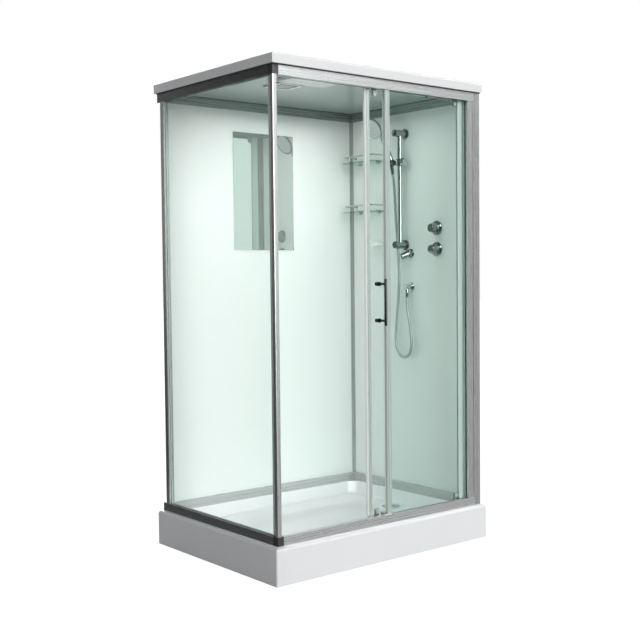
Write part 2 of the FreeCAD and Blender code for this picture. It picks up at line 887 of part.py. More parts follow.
def make_posts():
    wide, deep = d.corner_post_wide, d.corner_post_deep
    root = deep - d.corner_slot_deep
    section = [
        (ZERO, ZERO),
        (wide, ZERO),
        (wide, deep),
        (left_slot_far, deep),
        (left_slot_far, root),
        (left_slot_near, root),
        (left_slot_near, deep),
        (ZERO, deep),
    ]
    post = new_body("corner_post")
    run = pad(post, draw(post, XY, [section]), clear_height)

    def is_outer_corner(edge):
        box = edge.BoundBox
        return is_upright(edge) and abs(box.XMax) < TOUCH and abs(box.YMax) < TOUCH

    fillet(post, run, edges_where(run, is_outer_corner), d.corner_post_round)
    place(post, left, front, sill)

    wide, deep = d.left_rail_deep, d.wall_profile_deep
    section = [
        (ZERO, ZERO),
        (left_slot_near, ZERO),
        (left_slot_near, d.corner_slot_deep),
        (left_slot_far, d.corner_slot_deep),
        (left_slot_far, ZERO),
        (wide, ZERO),
        (wide, deep),
        (ZERO, deep),
    ]
    hollow = rect(gauge, d.corner_slot_deep + gauge, wide - gauge, deep - gauge)
    upright("wall_profile_left", [section, hollow], clear_height, left, back_wall - deep, sill)

    wide, deep, reach = d.right_post_wide, d.front_rail_deep, d.post_slot_deep
    groove, step = d.post_groove, d.right_post_wide / 4
    section = [
        (ZERO, ZERO),
        (step, ZERO),
        (step, groove),
        (step + groove, groove),
        (step + groove, ZERO),
        (step * 2, ZERO),
        (step * 2, groove),
        (step * 2 + groove, groove),
        (step * 2 + groove, ZERO),
        (wide, ZERO),
        (wide, deep),
        (ZERO, deep),
        (ZERO, slot_back),
        (reach, slot_back),
        (reach, slot_front),
        (ZERO, slot_front),
    ]
    hollow_side = rect(reach + gauge * 2, gauge * 2, wide - gauge, deep - gauge)
    hollow_rear = rect(gauge, slot_back + gauge, reach, deep - gauge)
    post_tall = eaves - rim
    post = upright("right_post", [section, hollow_side, hollow_rear], post_tall, right_wall, front, rim)
    flange, lip = -d.post_flange, d.post_lip - d.post_flange
    cover = [
        (flange, ZERO),
        (lip, ZERO),
        (lip, d.post_step),
        (ZERO, d.post_step),
        (ZERO, slot_front),
        (flange, slot_front),
    ]
    inner = rect(flange, slot_back, ZERO, d.post_flange_deep)
    pad(post, draw(post, XY, [cover, inner], sill - rim), clear_height)

    rear_wide, leg = d.right_post_wide - d.wall_thick, d.cove_leg
    outside = rect(ZERO, ZERO, rear_wide, d.rear_post_deep)
    inside = rect(gauge, gauge, rear_wide - gauge, d.rear_post_deep - gauge)
    cove = [(-leg, leg), (-leg, leg - gauge), (-gauge, ZERO), (ZERO, ZERO), (ZERO, leg)]
    x, y = right - rear_wide, back - d.rear_post_deep
    box = upright("Box", [outside, inside], clear_height, x, y, sill, listed=False)
    cover = upright("Cover", [[(a - d.wall_thick, b - leg) for a, b in cove]], clear_height,
                    x, back_wall, sill, listed=False)
    group("rear_corner_profile", [box, cover])


def make_corner_joints():
    """Moulded elbows that close the two rails at the front left corner."""
    members = []
    for level, tall, z in (("bottom", d.bottom_rail_tall, rim), ("top", d.top_rail_tall, lintel)):
        joint = new_body("Joint", listed=False)
        leg, notch = d.joint_leg, d.joint_leg - d.joint_notch
        outline = [
            (ZERO, ZERO),
            (leg, ZERO),
            (leg, notch),
            (notch, notch),
            (notch, leg),
            (ZERO, leg),
        ]
        block = pad(joint, draw(joint, XY, [outline]), tall)

        def is_outer_corner(edge):
            box = edge.BoundBox
            return is_upright(edge) and abs(box.XMax) < TOUCH and abs(box.YMax) < TOUCH

        fillet(joint, block, edges_where(block, is_outer_corner), d.joint_round)
        start = d.corner_post_deep - d.corner_slot_deep
        slot = rect(left_slot_near, start, left_slot_far, leg)
        if level == "bottom":
            pocket(joint, draw(joint, XY, [slot], tall), tall - d.slot_floor)
        else:
            pocket(joint, draw(joint, XY, [slot]), tall - d.slot_floor, back=True)
        members.append(place(joint, left, front, z))
    group("corner_joints", members)


# Glass, walls, gaskets and fillers


def pane(label, wide, thick, tall, x, y, z):
    """A flat sheet that faces the front, with small holes cut later."""
    body = new_body(label)
    pad(body, draw(body, XZ, [rect(ZERO, ZERO, wide, tall)], -thick), thick)
    return place(body, x, y, z)


pane_foot = rim + d.slot_floor + d.gasket_thick
pane_head = eaves - d.slot_floor - d.gasket_thick
pane_tall = pane_head - pane_foot
fixed_glass_start = d.fixed_edge_reach + d.door_edge_cover + d.gasket_thick
fixed_glass_end = right_wall + d.post_slot_deep - d.gasket_thick
fixed_glass_y = front + d.front_glass_setback - d.glass_thick / 2
left_glass_x = left + d.left_glass_setback - d.glass_thick / 2
left_glass_start = front + d.corner_post_deep - d.corner_slot_deep + d.gasket_thick
left_glass_end = back_wall - d.wall_profile_deep + d.corner_slot_deep - d.gasket_thick


def make_glazing():
    pane("fixed_glass", fixed_glass_end - fixed_glass_start, d.glass_thick, pane_tall,
         fixed_glass_start, fixed_glass_y, pane_foot)
    side = new_body("side_glass")
    depth = left_glass_end - left_glass_start
    pad(side, draw(side, YZ, [rect(ZERO, ZERO, depth, pane_tall)]), d.glass_thick)
    place(side, left_glass_x, left_glass_start, pane_foot)

    wall_foot = rim + d.slot_floor
    wall_tall = eaves - d.slot_floor - wall_foot
    back_start = left_inside
    rear = new_body("back_wall_panel")
    narrow, wide = right_trim - back_start, right_wall + d.wall_thick - back_start
    low, high = sill - wall_foot, lintel - wall_foot
    notched = [
        (ZERO, ZERO),
        (narrow, ZERO),
        (narrow, low),
        (wide, low),
        (wide, high),
        (narrow, high),
        (narrow, wall_tall),
        (ZERO, wall_tall),
    ]
    pad(rear, draw(rear, XZ, [notched], -d.wall_thick), d.wall_thick)
    place(rear, back_start, back_wall, wall_foot)
    end_wall = new_body("right_wall_panel")
    run = back_wall - front_inside
    pad(end_wall, draw(end_wall, YZ, [rect(ZERO, ZERO, run, wall_tall)]), d.wall_thick)
    knobs = d.mixer_setback - front_inside
    pipes = d.elbow_setback - front_inside
    neck_hole, pipe_hole = d.neck_radius_mixer + d.pipe_hole_gap, d.pipe_radius + d.pipe_hole_gap
    holes = [
        ring(knobs, d.mixer_upper - wall_foot, neck_hole),
        ring(knobs, d.mixer_lower - wall_foot, neck_hole),
        ring(pipes, d.elbow_height - wall_foot, pipe_hole),
        ring(pipes, d.outlet_height - wall_foot, pipe_hole),
    ]
    pocket(end_wall, draw(end_wall, YZ, holes, d.wall_thick), d.wall_thick)
    place(end_wall, right_wall, front_inside, wall_foot)


def gasket_section():
    wide, thick, tall = d.slot_wide, d.gasket_thick, d.gasket_tall
    near, far = wide / 2 - d.glass_thick / 2, wide / 2 + d.glass_thick / 2
    return [
        (ZERO, ZERO),
        (wide, ZERO),
        (wide, tall),
        (far, tall),
        (far, thick),
        (near, thick),
        (near, tall),
        (ZERO, tall),
    ]


def make_seals():
    """Channel gaskets of the fixed panes, the wiper fin and the magnet strip on the side glass."""
    across = gasket_section()
    bottom, top = across, [(y, -z) for y, z in across]
    facing_right, facing_left = [(z, y) for y, z in across], [(-z, y) for y, z in across]
    low, high = rim + d.slot_floor, eaves - d.slot_floor
    fixed_start, fixed_run = d.fixed_edge_reach, right_wall - d.fixed_edge_reach
    left_start = front + d.corner_post_deep - d.corner_slot_deep
    left_end = back_wall - d.wall_profile_deep + d.corner_slot_deep
    left_run = left_end - left_start
    pane_y, pane_x = front + slot_front, left + left_slot_near
    members = []
    for section, z in ((bottom, low), (top, high)):
        members.append(
            extrusion("Gasket", [section], fixed_run, fixed_start, pane_y, z, listed=False)
        )
        members.append(
            extrusion("Gasket", [section], left_run, pane_x, left_end, z, yaw=-90, listed=False)
        )
    for section, x, y in (
        (facing_left, right_wall + d.post_slot_deep, pane_y),
        (facing_right, d.fixed_edge_reach + d.door_edge_cover, pane_y),
        (bottom, pane_x, left_start),
        (top, pane_x, left_end),
    ):
        members.append(upright("Gasket", [section], clear_height, x, y, sill, listed=False))
    fin_x = d.fixed_edge_reach + d.fixed_edge_wide / 4
    fin_y = front + slot_back + gauge
    fin = rect(ZERO, ZERO, d.fin_thick, door_plane - d.door_profile_deep / 2 - d.fin_gap - fin_y)
    members.append(upright("Fin", [fin], clear_height, fin_x, fin_y, sill, listed=False))
    strip = rect(ZERO, ZERO, d.seal_wide, d.seal_deep)
    strip_tall = clear_height - d.seal_end_gap * 2
    strip_y = door_plane - d.seal_deep / 2
    members.append(
        upright("Magnet", [strip], strip_tall, left_glass_x + d.glass_thick, strip_y,
                sill + d.seal_end_gap, listed=False)
    )
    group("glazing_seals", members)


def make_fillers():
    """Snap-in strips that close the empty glazing slot beside the doorway."""
    start = left + d.joint_leg
    run = d.fixed_edge_reach - start
    bottom = rect(ZERO, ZERO, d.slot_wide, d.bottom_rail_tall - d.slot_floor)
    top = rect(ZERO, ZERO, d.slot_wide, d.top_rail_tall - d.slot_floor)
    y = front + slot_front
    group("slot_fillers", [
        extrusion("Filler", [bottom], run, start, y, rim + d.slot_floor, listed=False),
        extrusion("Filler", [top], run, start, y, lintel, listed=False),
    ])


def make_fixed_edge():
    """The aluminium edge of the fixed pane, the clip on its head and the guide at its foot."""
    wide = d.fixed_edge_wide
    near = slot_front - d.fixed_edge_front
    far = near + d.slot_wide
    section = [
        (ZERO, ZERO),
        (wide, ZERO),
        (wide, near),
        (d.door_edge_cover, near),
        (d.door_edge_cover, far),
        (wide, far),
        (wide, far + gauge),
        (ZERO, far + gauge),
    ]
    y = front + d.fixed_edge_front
    upright("fixed_edge_profile", [section], clear_height, d.fixed_edge_reach, y, sill)
    half = d.clip_wide / 2
    jaw = rect(ZERO, ZERO, d.clip_wall, d.clip_tall)
    near_y, far_y = fixed_glass_y - d.clip_wall, fixed_glass_y + d.glass_thick
    jaws = [
        extrusion("Jaw", [jaw], d.clip_wide, d.clip_reach - half, jaw_y, lintel - d.clip_tall,
                  listed=False)
        for jaw_y in (near_y, far_y)
    ]
    block = rect(ZERO, ZERO, d.guide_deep, d.guide_tall)
    guide = extrusion("Guide", [block], d.guide_wide, d.fixed_edge_reach - d.guide_wide, y, sill,
                      listed=False)
    group("panel_clips", jaws + [guide])


# Sliding door, drawn where it stands open

door_end = right_wall - d.door_end_gap
door_width = door_end - d.door_reach
door_foot = rim + d.door_foot_gap
door_head = eaves - d.door_head_gap
door_tall = door_head - door_foot
lead_roller = d.door_reach + d.roller_inset
trail_roller = door_end - d.roller_inset
top_axle = lintel + d.top_rib_top + d.wheel_groove_radius + d.wheel_lift
bottom_axle = rim + d.bottom_rib_top + d.wheel_groove_radius + d.wheel_lift
top_bolt = lintel - d.bolt_drop
bottom_bolt = sill + d.bolt_drop
half_glass = d.glass_thick / 2


def make_door():
    glass = new_body("door_glass")
    start = d.door_reach + d.door_edge_cover
    wide = door_width - d.door_edge_cover * 2
    sheet_shape = draw(glass, XZ, [rect(ZERO, ZERO, wide, door_tall)], -half_glass)
    pad(glass, sheet_shape, d.glass_thick)
    hole = d.bolt_radius + d.bolt_clearance
    bolts = [
        ring(x - start, z - door_foot, hole)
        for x in (lead_roller, trail_roller)
        for z in (bottom_bolt, top_bolt)
    ]
    grips = [
        ring(d.handle_reach - start, d.handle_height + shift - door_foot, hole)
        for shift in (-d.handle_spacing / 2, d.handle_spacing / 2)
    ]
    pocket(glass, draw(glass, XZ, bolts + grips, half_glass), d.glass_thick)
    place(glass, start, door_plane, door_foot)

    deep = d.door_profile_deep
    near, far = deep / 2 - half_glass, deep / 2 + half_glass
    for label, width, x, side in (
        ("door_lead_profile", d.door_lead_wide, d.door_reach, 1),
        ("door_trail_profile", d.door_trail_wide, door_end, -1),
    ):
        cover = d.door_edge_cover * side
        edge = width * side
        section = [
            (ZERO, ZERO),
            (edge, ZERO),
            (edge, near),
            (cover, near),
            (cover, far),
            (edge, far),
            (edge, deep),
            (ZERO, deep),
        ]
        upright(label, [section], door_tall, x, door_plane - deep / 2, door_foot)

    seal = rect(-d.seal_wide, ZERO, ZERO, d.seal_deep)
    seal_foot = sill + d.seal_end_gap
    seal_tall = clear_height - d.seal_end_gap * 2
    y = door_plane - d.seal_deep / 2
    upright("door_magnet_seal", [seal], seal_tall, d.door_reach, y, seal_foot)


def roller_bracket(rise):
    """Plate on the glass's inner face, its bolt through the glass, and the wheel's axle."""
    body = doc.addObject("PartDesign::Body", "RollerBracket")
    half, margin = d.bracket_wide / 2, d.bracket_margin
    if rise.value > 0:
        plate = rect(-half, -d.bracket_tail, half, rise + margin)
    else:
        plate = rect(-half, rise - margin, half, d.bracket_tail)
    pad(body, draw(body, XZ, [plate], -half_glass), d.bracket_thick, back=True)
    pad(body, draw(body, XZ, [ring(ZERO, ZERO, d.bolt_radius)], half_glass), d.glass_thick, back=True)
    pad(body, draw(body, XZ, [ring(ZERO, ZERO, d.bolt_cap_radius)], half_glass), d.bolt_cap_thick)
    reach = d.track_setback - d.door_setback + d.wheel_wide / 2 + d.axle_head
    start = half_glass + d.bracket_thick
    axle = draw(body, XZ, [ring(ZERO, rise, d.axle_radius)], -start)
    pad(body, axle, reach - start, back=True)
    return body


def make_rollers():
    carriages = []
    for level, bolt, axle in (
        ("top", top_bolt, top_axle),
        ("bottom", bottom_bolt, bottom_axle),
    ):
        bracket = roller_bracket(axle - bolt)
        carriages += [copy_of(bracket, x, door_plane, bolt) for x in (lead_roller, trail_roller)]
        for name, x in (("lead", lead_roller), ("trail", trail_roller)):
            half, groove = d.wheel_wide / 2, d.wheel_groove_wide / 2
            bore = d.axle_radius + d.running_gap
            rim_radius = d.wheel_radius
            profile = [
                (bore, -half),
                (rim_radius, -half),
                (rim_radius, -groove),
                (d.wheel_groove_radius, -groove * WHEEL_GROOVE_SHARE),
                (d.wheel_groove_radius, groove * WHEEL_GROOVE_SHARE),
                (rim_radius, groove),
                (rim_radius, half),
                (bore, half),
            ]
            turned(f"{level}_wheel_{name}", profile, x, front + d.track_setback, axle, X_AXIS, 90)
    group("roller_carriages", carriages)


def make_handle():
    """Bow handle outside the glass, and the knobs whose studs hold it from inside."""
    bar = new_body("Bow", listed=False)
    half = d.handle_length / 2
    wide, edge = d.handle_radius, d.handle_radius / 3
    rod = [
        (ZERO, -half),
        (wide - edge, -half),
        (wide, edge - half),
        (wide, half - edge),
        (wide - edge, half),
        (ZERO, half),
    ]
    turn(bar, draw(bar, XZ, [rod]))
    reach = d.door_setback - half_glass
    arms = [ring(ZERO, shift, d.standoff_radius)
            for shift in (-d.handle_spacing / 2, d.handle_spacing / 2)]
    pad(bar, draw(bar, XZ, arms), reach, back=True)
    collars = [ring(ZERO, shift, d.washer_radius)
               for shift in (-d.handle_spacing / 2, d.handle_spacing / 2)]
    pad(bar, draw(bar, XZ, collars, -reach), d.washer_thick)
    place(bar, d.handle_reach, front, d.handle_height)

    knob_long, neck = d.inner_knob_long, d.inner_knob_neck
    neck_end, flare_end, tip_start = (knob_long * share for share in INNER_KNOB_SHARES)
    profile = [
        (ZERO, -d.glass_thick),
        (d.bolt_radius, -d.glass_thick),
        (d.bolt_radius, ZERO),
        (d.washer_radius, ZERO),
        (d.washer_radius, d.washer_thick),
        (neck, d.washer_thick),
        (neck, neck_end),
        (d.inner_knob_radius, flare_end),
        (d.inner_knob_radius, tip_start),
        (d.inner_knob_radius * INNER_KNOB_TIP_SHARE, knob_long),
        (ZERO, knob_long),
    ]
    one = turned("InnerKnob", profile, ZERO, ZERO, ZERO, listed=False)
    y = door_plane + half_glass
    knobs = [
        copy_of(one, d.handle_reach, y, d.handle_height + shift, X_AXIS, -90)
        for shift in (-d.handle_spacing / 2, d.handle_spacing / 2)
    ]
    group("door_handle", [bar] + knobs)


# Roof, ceiling, fan and light


def make_roof():
    x0, x1 = left - d.roof_left_overhang, right
    y0, y1 = front - d.roof_front_overhang, back + d.roof_back_overhang
    shell = d.roof_shell
    roof = new_body("roof_cap")
    block = pad(roof, draw(roof, XY, [rect(x0, y0, x1, y1)]), d.roof_skirt)
    tops = edges_where(block, lambda edge: is_level_at(edge, d.roof_skirt))
    fillet(roof, block, tops, d.roof_round)
    inside = rect(x0 + shell, y0 + shell, x1 - shell, y1 - shell)
    pocket(roof, draw(roof, XY, [inside]), d.roof_skirt - d.roof_round, back=True)
    crown = shell + d.roof_round
    inside = rect(x0 + crown, y0 + crown, x1 - crown, y1 - crown)
    pocket(roof, draw(roof, XY, [inside]), d.roof_skirt - shell, back=True)
    half_slot = d.vent_slot_long / 2
    pitch = d.vent_slot_wide * 2
    first = d.fan_setback - pitch * (VENT_SLOTS // 2)
    slot = rect(d.module_reach - half_slot, first - d.vent_slot_wide / 2,
                d.module_reach + half_slot, first + d.vent_slot_wide / 2)
    cut = pocket(roof, draw(roof, XY, [slot], d.roof_skirt), shell)
    doc.recompute()
    along(roof, cut, "Y_Axis", pitch * (VENT_SLOTS - 1), VENT_SLOTS)
    place(roof, ZERO, ZERO, eaves)

    ceiling = new_body("ceiling_panel")
    panel = rect(x0 + shell, y0 + shell, x1 - shell, y1 - shell)
    pad(ceiling, draw(ceiling, XY, [panel]), d.ceiling_thick)
    half_fan = d.fan_bore_radius
    hole = ring(d.module_reach, d.fan_setback, half_fan)
    pocket(ceiling, draw(ceiling, XY, [hole], d.ceiling_thick), d.ceiling_thick)
    place(ceiling, ZERO, ZERO, eaves)


def make_fan():
    """Square fan frame over the ceiling, rotor on its shaft, and the grille below."""
    top_of_ceiling = eaves + d.ceiling_thick
    half = d.fan_size / 2
    frame = new_body("fan_frame")
    outer = rect(-half, -half, half, half)
    pad(frame, draw(frame, XY, [outer, ring(ZERO, ZERO, d.fan_bore_radius)]), d.fan_tall)
    motor_foot = d.fan_tall - d.fan_motor_tall
    pad(frame, draw(frame, XY, [ring(ZERO, ZERO, d.fan_motor_radius)], motor_foot), d.fan_motor_tall)
    half_strut = d.fan_strut_wide / 2
    reach = d.fan_bore_radius + gauge
    strut = rect(ZERO, -half_strut, reach, half_strut)
    arm = pad(frame, draw(frame, XY, [strut], motor_foot), d.fan_motor_tall)
    doc.recompute()
    around(frame, arm, 3)
    shaft = draw(frame, XY, [ring(ZERO, ZERO, d.fan_shaft_radius)], gauge)
    pad(frame, shaft, motor_foot)
    place(frame, d.module_reach, d.fan_setback, top_of_ceiling)

    rotor = new_body("fan_rotor")
    hub_foot = gauge * 2
    bore = d.fan_shaft_radius + d.running_gap
    hub = [ring(ZERO, ZERO, d.fan_hub_radius), ring(ZERO, ZERO, bore)]
    pad(rotor, draw(rotor, XY, hub, hub_foot), d.fan_hub_tall)
    rise, thick = d.fan_blade_rise, d.fan_blade_thick
    low = hub_foot + gauge
    blade = [
        (-rise, low),
        (-rise + thick, low),
        (rise, low + rise - thick),
        (rise, low + rise),
        (rise - thick, low + rise),
        (-rise, low + thick),
    ]
    start = d.fan_blade_root
    tip = d.fan_bore_radius - d.fan_blade_gap
    vane = pad(rotor, draw(rotor, XZ, [blade], start), tip - start)
    doc.recompute()
    around(rotor, vane, 7)
    place(rotor, d.module_reach, d.fan_setback, top_of_ceiling)

    grille = new_body("fan_grille")
    half = d.grille_size / 2
    border, bar, pitch = d.grille_border, d.grille_bar, d.grille_bar + d.grille_gap
    inner = half - border
    pad(grille, draw(grille, XY, [rect(-half, -half, half, half)]), d.grille_thick)
    slot = rect(-inner, -inner, inner, -inner + d.grille_gap)
    cut = pocket(grille, draw(grille, XY, [slot], d.grille_thick), d.grille_thick)
    doc.recompute()
    count = int((inner.value * 2 + bar.value) // pitch.value)
    along(grille, cut, "Y_Axis", pitch * (count - 1), count)
    place(grille, d.module_reach, d.fan_setback, eaves - d.grille_thick)


def make_light():
    """One-piece rounded lamp cover against the ceiling, hollow above."""
    half_long_side, half_short = d.light_length / 2, d.light_width / 2
    lens = new_body("ceiling_light")
    face = rect(-half_long_side, -half_short, half_long_side, half_short)
    block = pad(lens, draw(lens, XY, [face]), d.light_tall)
    low = edges_where(block, lambda edge: is_level_at(edge, ZERO))
    fillet(lens, block, low, d.light_round)
    wall = d.light_recess
    inside = rect(-half_long_side + wall, -half_short + wall, half_long_side - wall, half_short - wall)
    pocket(lens, draw(lens, XY, [inside], d.light_tall), d.light_tall - wall)
    place(lens, d.module_reach, d.light_setback, eaves - d.light_tall)


# Riser rail, slider, holder and hand shower

riser_x = right_wall - d.riser_offset


def make_riser():
    """Bar between two barrel brackets, each bored for its end."""
    nose, flange = d.bracket_nose, d.bracket_flange_thick
    reach = d.riser_offset + nose
    socket = d.riser_socket
    members = []
    for z, up in ((d.riser_top, -1), (d.riser_bottom, 1)):
        bracket = new_body("Bracket", listed=False)
        profile = [
            (ZERO, ZERO),
            (d.bracket_flange_radius, ZERO),
            (d.bracket_flange_radius, flange),
            (d.bracket_radius, flange),
            (d.bracket_radius, reach - d.bracket_edge_round),
            (d.bracket_radius - d.bracket_edge_round, reach),
            (ZERO, reach),
        ]
        turn(bracket, draw(bracket, XZ, [profile]))
        bore = d.riser_radius + d.running_gap
        hole = draw(bracket, YZ, [ring(ZERO, d.riser_offset, bore)], socket * up)
        pocket(bracket, hole, d.bracket_radius * 2, back=(up > 0))
        members.append(place(bracket, right_wall, d.riser_setback, z, Y_AXIS, -90))
    group("riser_brackets", members)
    bar = new_body("riser_bar")
    foot, head = d.riser_bottom + socket, d.riser_top - socket
    pad(bar, draw(bar, XY, [ring(ZERO, ZERO, d.riser_radius)]), head - foot)
    place(bar, riser_x, d.riser_setback, foot)


holder_x = riser_x - d.holder_forward
holder_y = d.riser_setback + d.holder_setback
tilt = math.radians(SIZES["holder_tilt"])
lean_share, rise_share = math.sin(tilt), math.cos(tilt)
head_lean = math.radians(SIZES["head_lean"])
arm_end = d.slider_radius + d.slider_arm_long


def make_slider():
    """Sleeve on the bar, with a stub for the tilting holder and a threaded seat for the clamp knob."""
    slider = new_body("slider")
    half = d.slider_tall / 2
    pad(slider, draw(slider, XY, [ring(ZERO, ZERO, d.slider_radius)], -half), d.slider_tall)
    arm = draw(slider, XZ, [ring(ZERO, ZERO, d.slider_arm_radius)], -arm_end)
    pad(slider, arm, arm_end + d.slider_radius)
    hole = draw(slider, XY, [ring(ZERO, ZERO, d.riser_radius + d.running_gap)], half)
    pocket(slider, hole, d.slider_tall)
    seat = draw(slider, XZ, [ring(ZERO, ZERO, d.stud_radius + d.running_gap)], d.slider_radius)
    pocket(slider, seat, d.slider_radius)
    pin = draw(slider, XZ, [ring(ZERO, ZERO, d.pivot_radius)], -arm_end)
    pad(slider, pin, d.pivot_long, back=True)
    place(slider, riser_x, d.riser_setback, d.slider_height)

    clamp = new_body("clamp_knob")
    wide, long, edge = d.clamp_radius, d.clamp_long, d.clamp_edge
    profile = [
        (ZERO, ZERO),
        (wide - edge, ZERO),
        (wide, -edge),
        (wide, edge - long),
        (wide - edge, -long),
        (ZERO, -long),
    ]
    turn(clamp, draw(clamp, XY, [profile]))
    flute = ring(d.clamp_radius + d.clamp_flute_radius / 2, ZERO, d.clamp_flute_radius)
    cut = pocket(clamp, draw(clamp, XZ, [flute], d.clamp_long), d.clamp_long)
    doc.recompute()
    around(clamp, cut, 6, "Y_Axis")
    stud_long = d.slider_radius + d.clamp_gap - d.riser_radius - d.clamp_gap
    stud = draw(clamp, XZ, [ring(ZERO, ZERO, d.stud_radius)])
    pad(clamp, stud, stud_long, back=True)
    y = d.riser_setback - d.slider_radius - d.clamp_gap
    place(clamp, riser_x, y, d.slider_height)


def make_holder():
    """A conical cup, open at its front, on a flat arm that turns on the slider's pin."""
    cup = new_body("handset_holder")
    half = d.holder_tall / 2
    pivot_x, pivot_z = d.holder_forward * rise_share, -(d.holder_forward * lean_share)
    boss = d.holder_boss_radius
    side_x, side_z = boss * lean_share, boss * rise_share
    near = d.slider_radius + d.slider_arm_long + d.holder_gap - d.holder_setback
    link = [
        (side_x, side_z),
        (pivot_x + side_x, pivot_z + side_z),
        (pivot_x - side_x, pivot_z - side_z),
        (-side_x, -side_z),
    ]
    for loop in (link, ring(ZERO, ZERO, boss), ring(pivot_x, pivot_z, boss)):
        pad(cup, draw(cup, XZ, [loop], -near), d.holder_boss_thick, back=True)
    wall = [
        (d.holder_bore_foot, -half),
        (d.holder_radius - gauge, -half),
        (d.holder_radius, half),
        (d.holder_bore_top, half),
    ]
    turn(cup, draw(cup, XZ, [wall]))
    half_mouth = d.holder_mouth / 2
    mouth = rect(-d.holder_radius - gauge, -half_mouth, ZERO, half_mouth)
    pocket(cup, draw(cup, XY, [mouth], half), d.holder_tall)
    pin_hole = draw(cup, XZ, [ring(pivot_x, pivot_z, d.pivot_radius + d.running_gap)], -near)
    pocket(cup, pin_hole, d.pivot_long)
    place(cup, holder_x, holder_y, d.slider_height, Y_AXIS, -SIZES["holder_tilt"])


def make_handset():
    """A grip that leaves the cup upright and curves forward into a round head."""
    half_cone = d.holder_tall.value / 2
    grip, neck = d.grip_radius.value, d.neck_radius.value
    cone_top, cone_foot = d.cone_top_radius.value, d.cone_foot_radius.value
    rise, forward = d.head_height.value, d.head_reach.value
    radius, deep = d.head_radius.value, d.head_deep.value

    def hoop(x, z, size, lean=0):
        direction = Vector(-math.sin(lean), 0, math.cos(lean))
        return Part.Wire([Part.Circle(Vector(x, 0, z), direction, size).toShape()])

    cone = Part.makeLoft([
        hoop(0, -d.grip_foot.value, grip * GRIP_END_SHARE),
        hoop(0, -half_cone, cone_foot),
        hoop(0, half_cone, cone_top),
    ], True, True)
    depth_share, height_share, size_share, root_lean = STEM_ROOT_SHARES
    down, off = deep * depth_share, radius * height_share
    root_x = -forward + down * math.cos(head_lean) + off * math.sin(head_lean)
    root_z = rise + down * math.sin(head_lean) - off * math.cos(head_lean)
    start, end = hoop(0, half_cone, cone_top), hoop(root_x, root_z, neck * size_share, root_lean)
    hoops = [
        hoop(-forward * out_share, rise * up_share, grip * round_share, lean)
        for out_share, up_share, round_share, lean in STEM_SHARES
    ]
    stem = Part.makeLoft([start] + hoops + [end], True, False)
    dome = [Vector(deep * out_share, 0, radius * up_share) for out_share, up_share in CROWN_SHARES]
    seat = d.face_thick.value
    corners = [
        dome[-1],
        Vector(0, 0, radius),
        Vector(0, 0, d.face_radius.value),
        Vector(seat, 0, d.face_radius.value),
        Vector(seat, 0, 0),
        Vector(deep, 0, 0),
    ]
    outline = Part.makePolygon(dome[:-1] + corners)
    head = Part.Face(outline).revolve(Vector(), X_AXIS, 360)
    head.rotate(Vector(), Y_AXIS, -SIZES["head_lean"])
    head.translate(Vector(-forward, 0, rise))
    shape = cone.fuse([stem, head]).removeSplitter()
    solid("hand_shower", shape, holder_x, holder_y, d.slider_height, Y_AXIS, -SIZES["holder_tilt"])


def on_handset(forward, rise):
    """World X and Z of a point given along the handset's own axes."""
    x = holder_x + forward * rise_share - rise * lean_share
    z = d.slider_height + forward * lean_share + rise * rise_share
    return x, z


def make_spray_face():
    """Nozzle plate let into the head's rim, with two rings of soft nozzles."""
    face = new_body("spray_face")
    pad(face, draw(face, XY, [ring(ZERO, ZERO, d.face_radius)]), d.face_thick)
    for reach, count in ((d.nozzle_ring_inner, 6), (d.nozzle_ring_outer, 12)):
        nozzle = draw(face, XY, [ring(reach, ZERO, d.nozzle_radius)], d.face_thick)
        tip = pad(face, nozzle, d.nozzle_tall)
        doc.recompute()
        around(face, tip, count)
    forward = d.face_thick * math.cos(head_lean) - d.head_reach
    rise = d.head_height + d.face_thick * math.sin(head_lean)
    x, z = on_handset(forward, rise)
    place(face, x, holder_y, z, Y_AXIS, -90 - SIZES["holder_tilt"] - SIZES["head_lean"])


# Hose, its nuts, the wall elbow and the lower outlet

# Route of the hose between its two nuts: it hangs from the hand shower and loops up to the elbow
HOSE_ROUTE = [
    (509, 54, 1602),
    (512, 51, 1507),
    (512, 43, 1400),
    (510, 31, 1295),
    (509, 24, 1205),
    (510, 30, 1115),
    (511, 40, 1030),
    (512, 50, 955),
    (512, 54, 900),
    (512, 53, 857),
    (512, 31, 815),
    (512, -6, 803),
    (512, -41, 820),
    (512, -55, 859),
    (512, -52, 912),
    (512, -40, 985),
    (512, -28, 1035),
]


def bent_wire(points, bend=None):
    """Straight runs joined by tangent arcs; without a given bend each arc is as large as its runs allow."""
    edges, radii, start = [], [], points[0]
    for before, point, after in zip(points, points[1:], points[2:]):
        back_run, next_run = before - point, after - point
        half_turn = (math.pi - back_run.getAngle(next_run)) / 2
        if bend is None:
            reach = HOSE_BEND_SHARE * min(back_run.Length, next_run.Length)
            radius = reach / math.tan(half_turn)
        else:
            radius = bend
            reach = radius * math.tan(half_turn)
        back_run.normalize()
        next_run.normalize()
        inward = (back_run + next_run).normalize()
        centre = point + inward * (radius / math.cos(half_turn))
        entry, leave = point + back_run * reach, point + next_run * reach
        edges.append(Part.LineSegment(start, entry).toShape())
        edges.append(Part.Arc(entry, centre - inward * radius, leave).toShape())
        radii.append(radius)
        start = leave
    edges.append(Part.LineSegment(start, points[-1]).toShape())
    return Part.Wire(edges), radii


def tube(points, radius, bend=None):
    path, radii = bent_wire(points, bend)
    heading = points[1] - points[0]
    end = Part.Wire([Part.Circle(points[0], heading, radius).toShape()])
    shape = path.makePipeShell([end], True, False)
    return shape, radii, path.Length


NUT_PROFILE = [
    (ZERO, ZERO),
    (d.hose_nut_foot_radius, ZERO),
    (d.hose_nut_radius, d.hose_nut_long / 2),
    (d.hose_nut_radius, d.hose_nut_long),
    (ZERO, d.hose_nut_long),
]


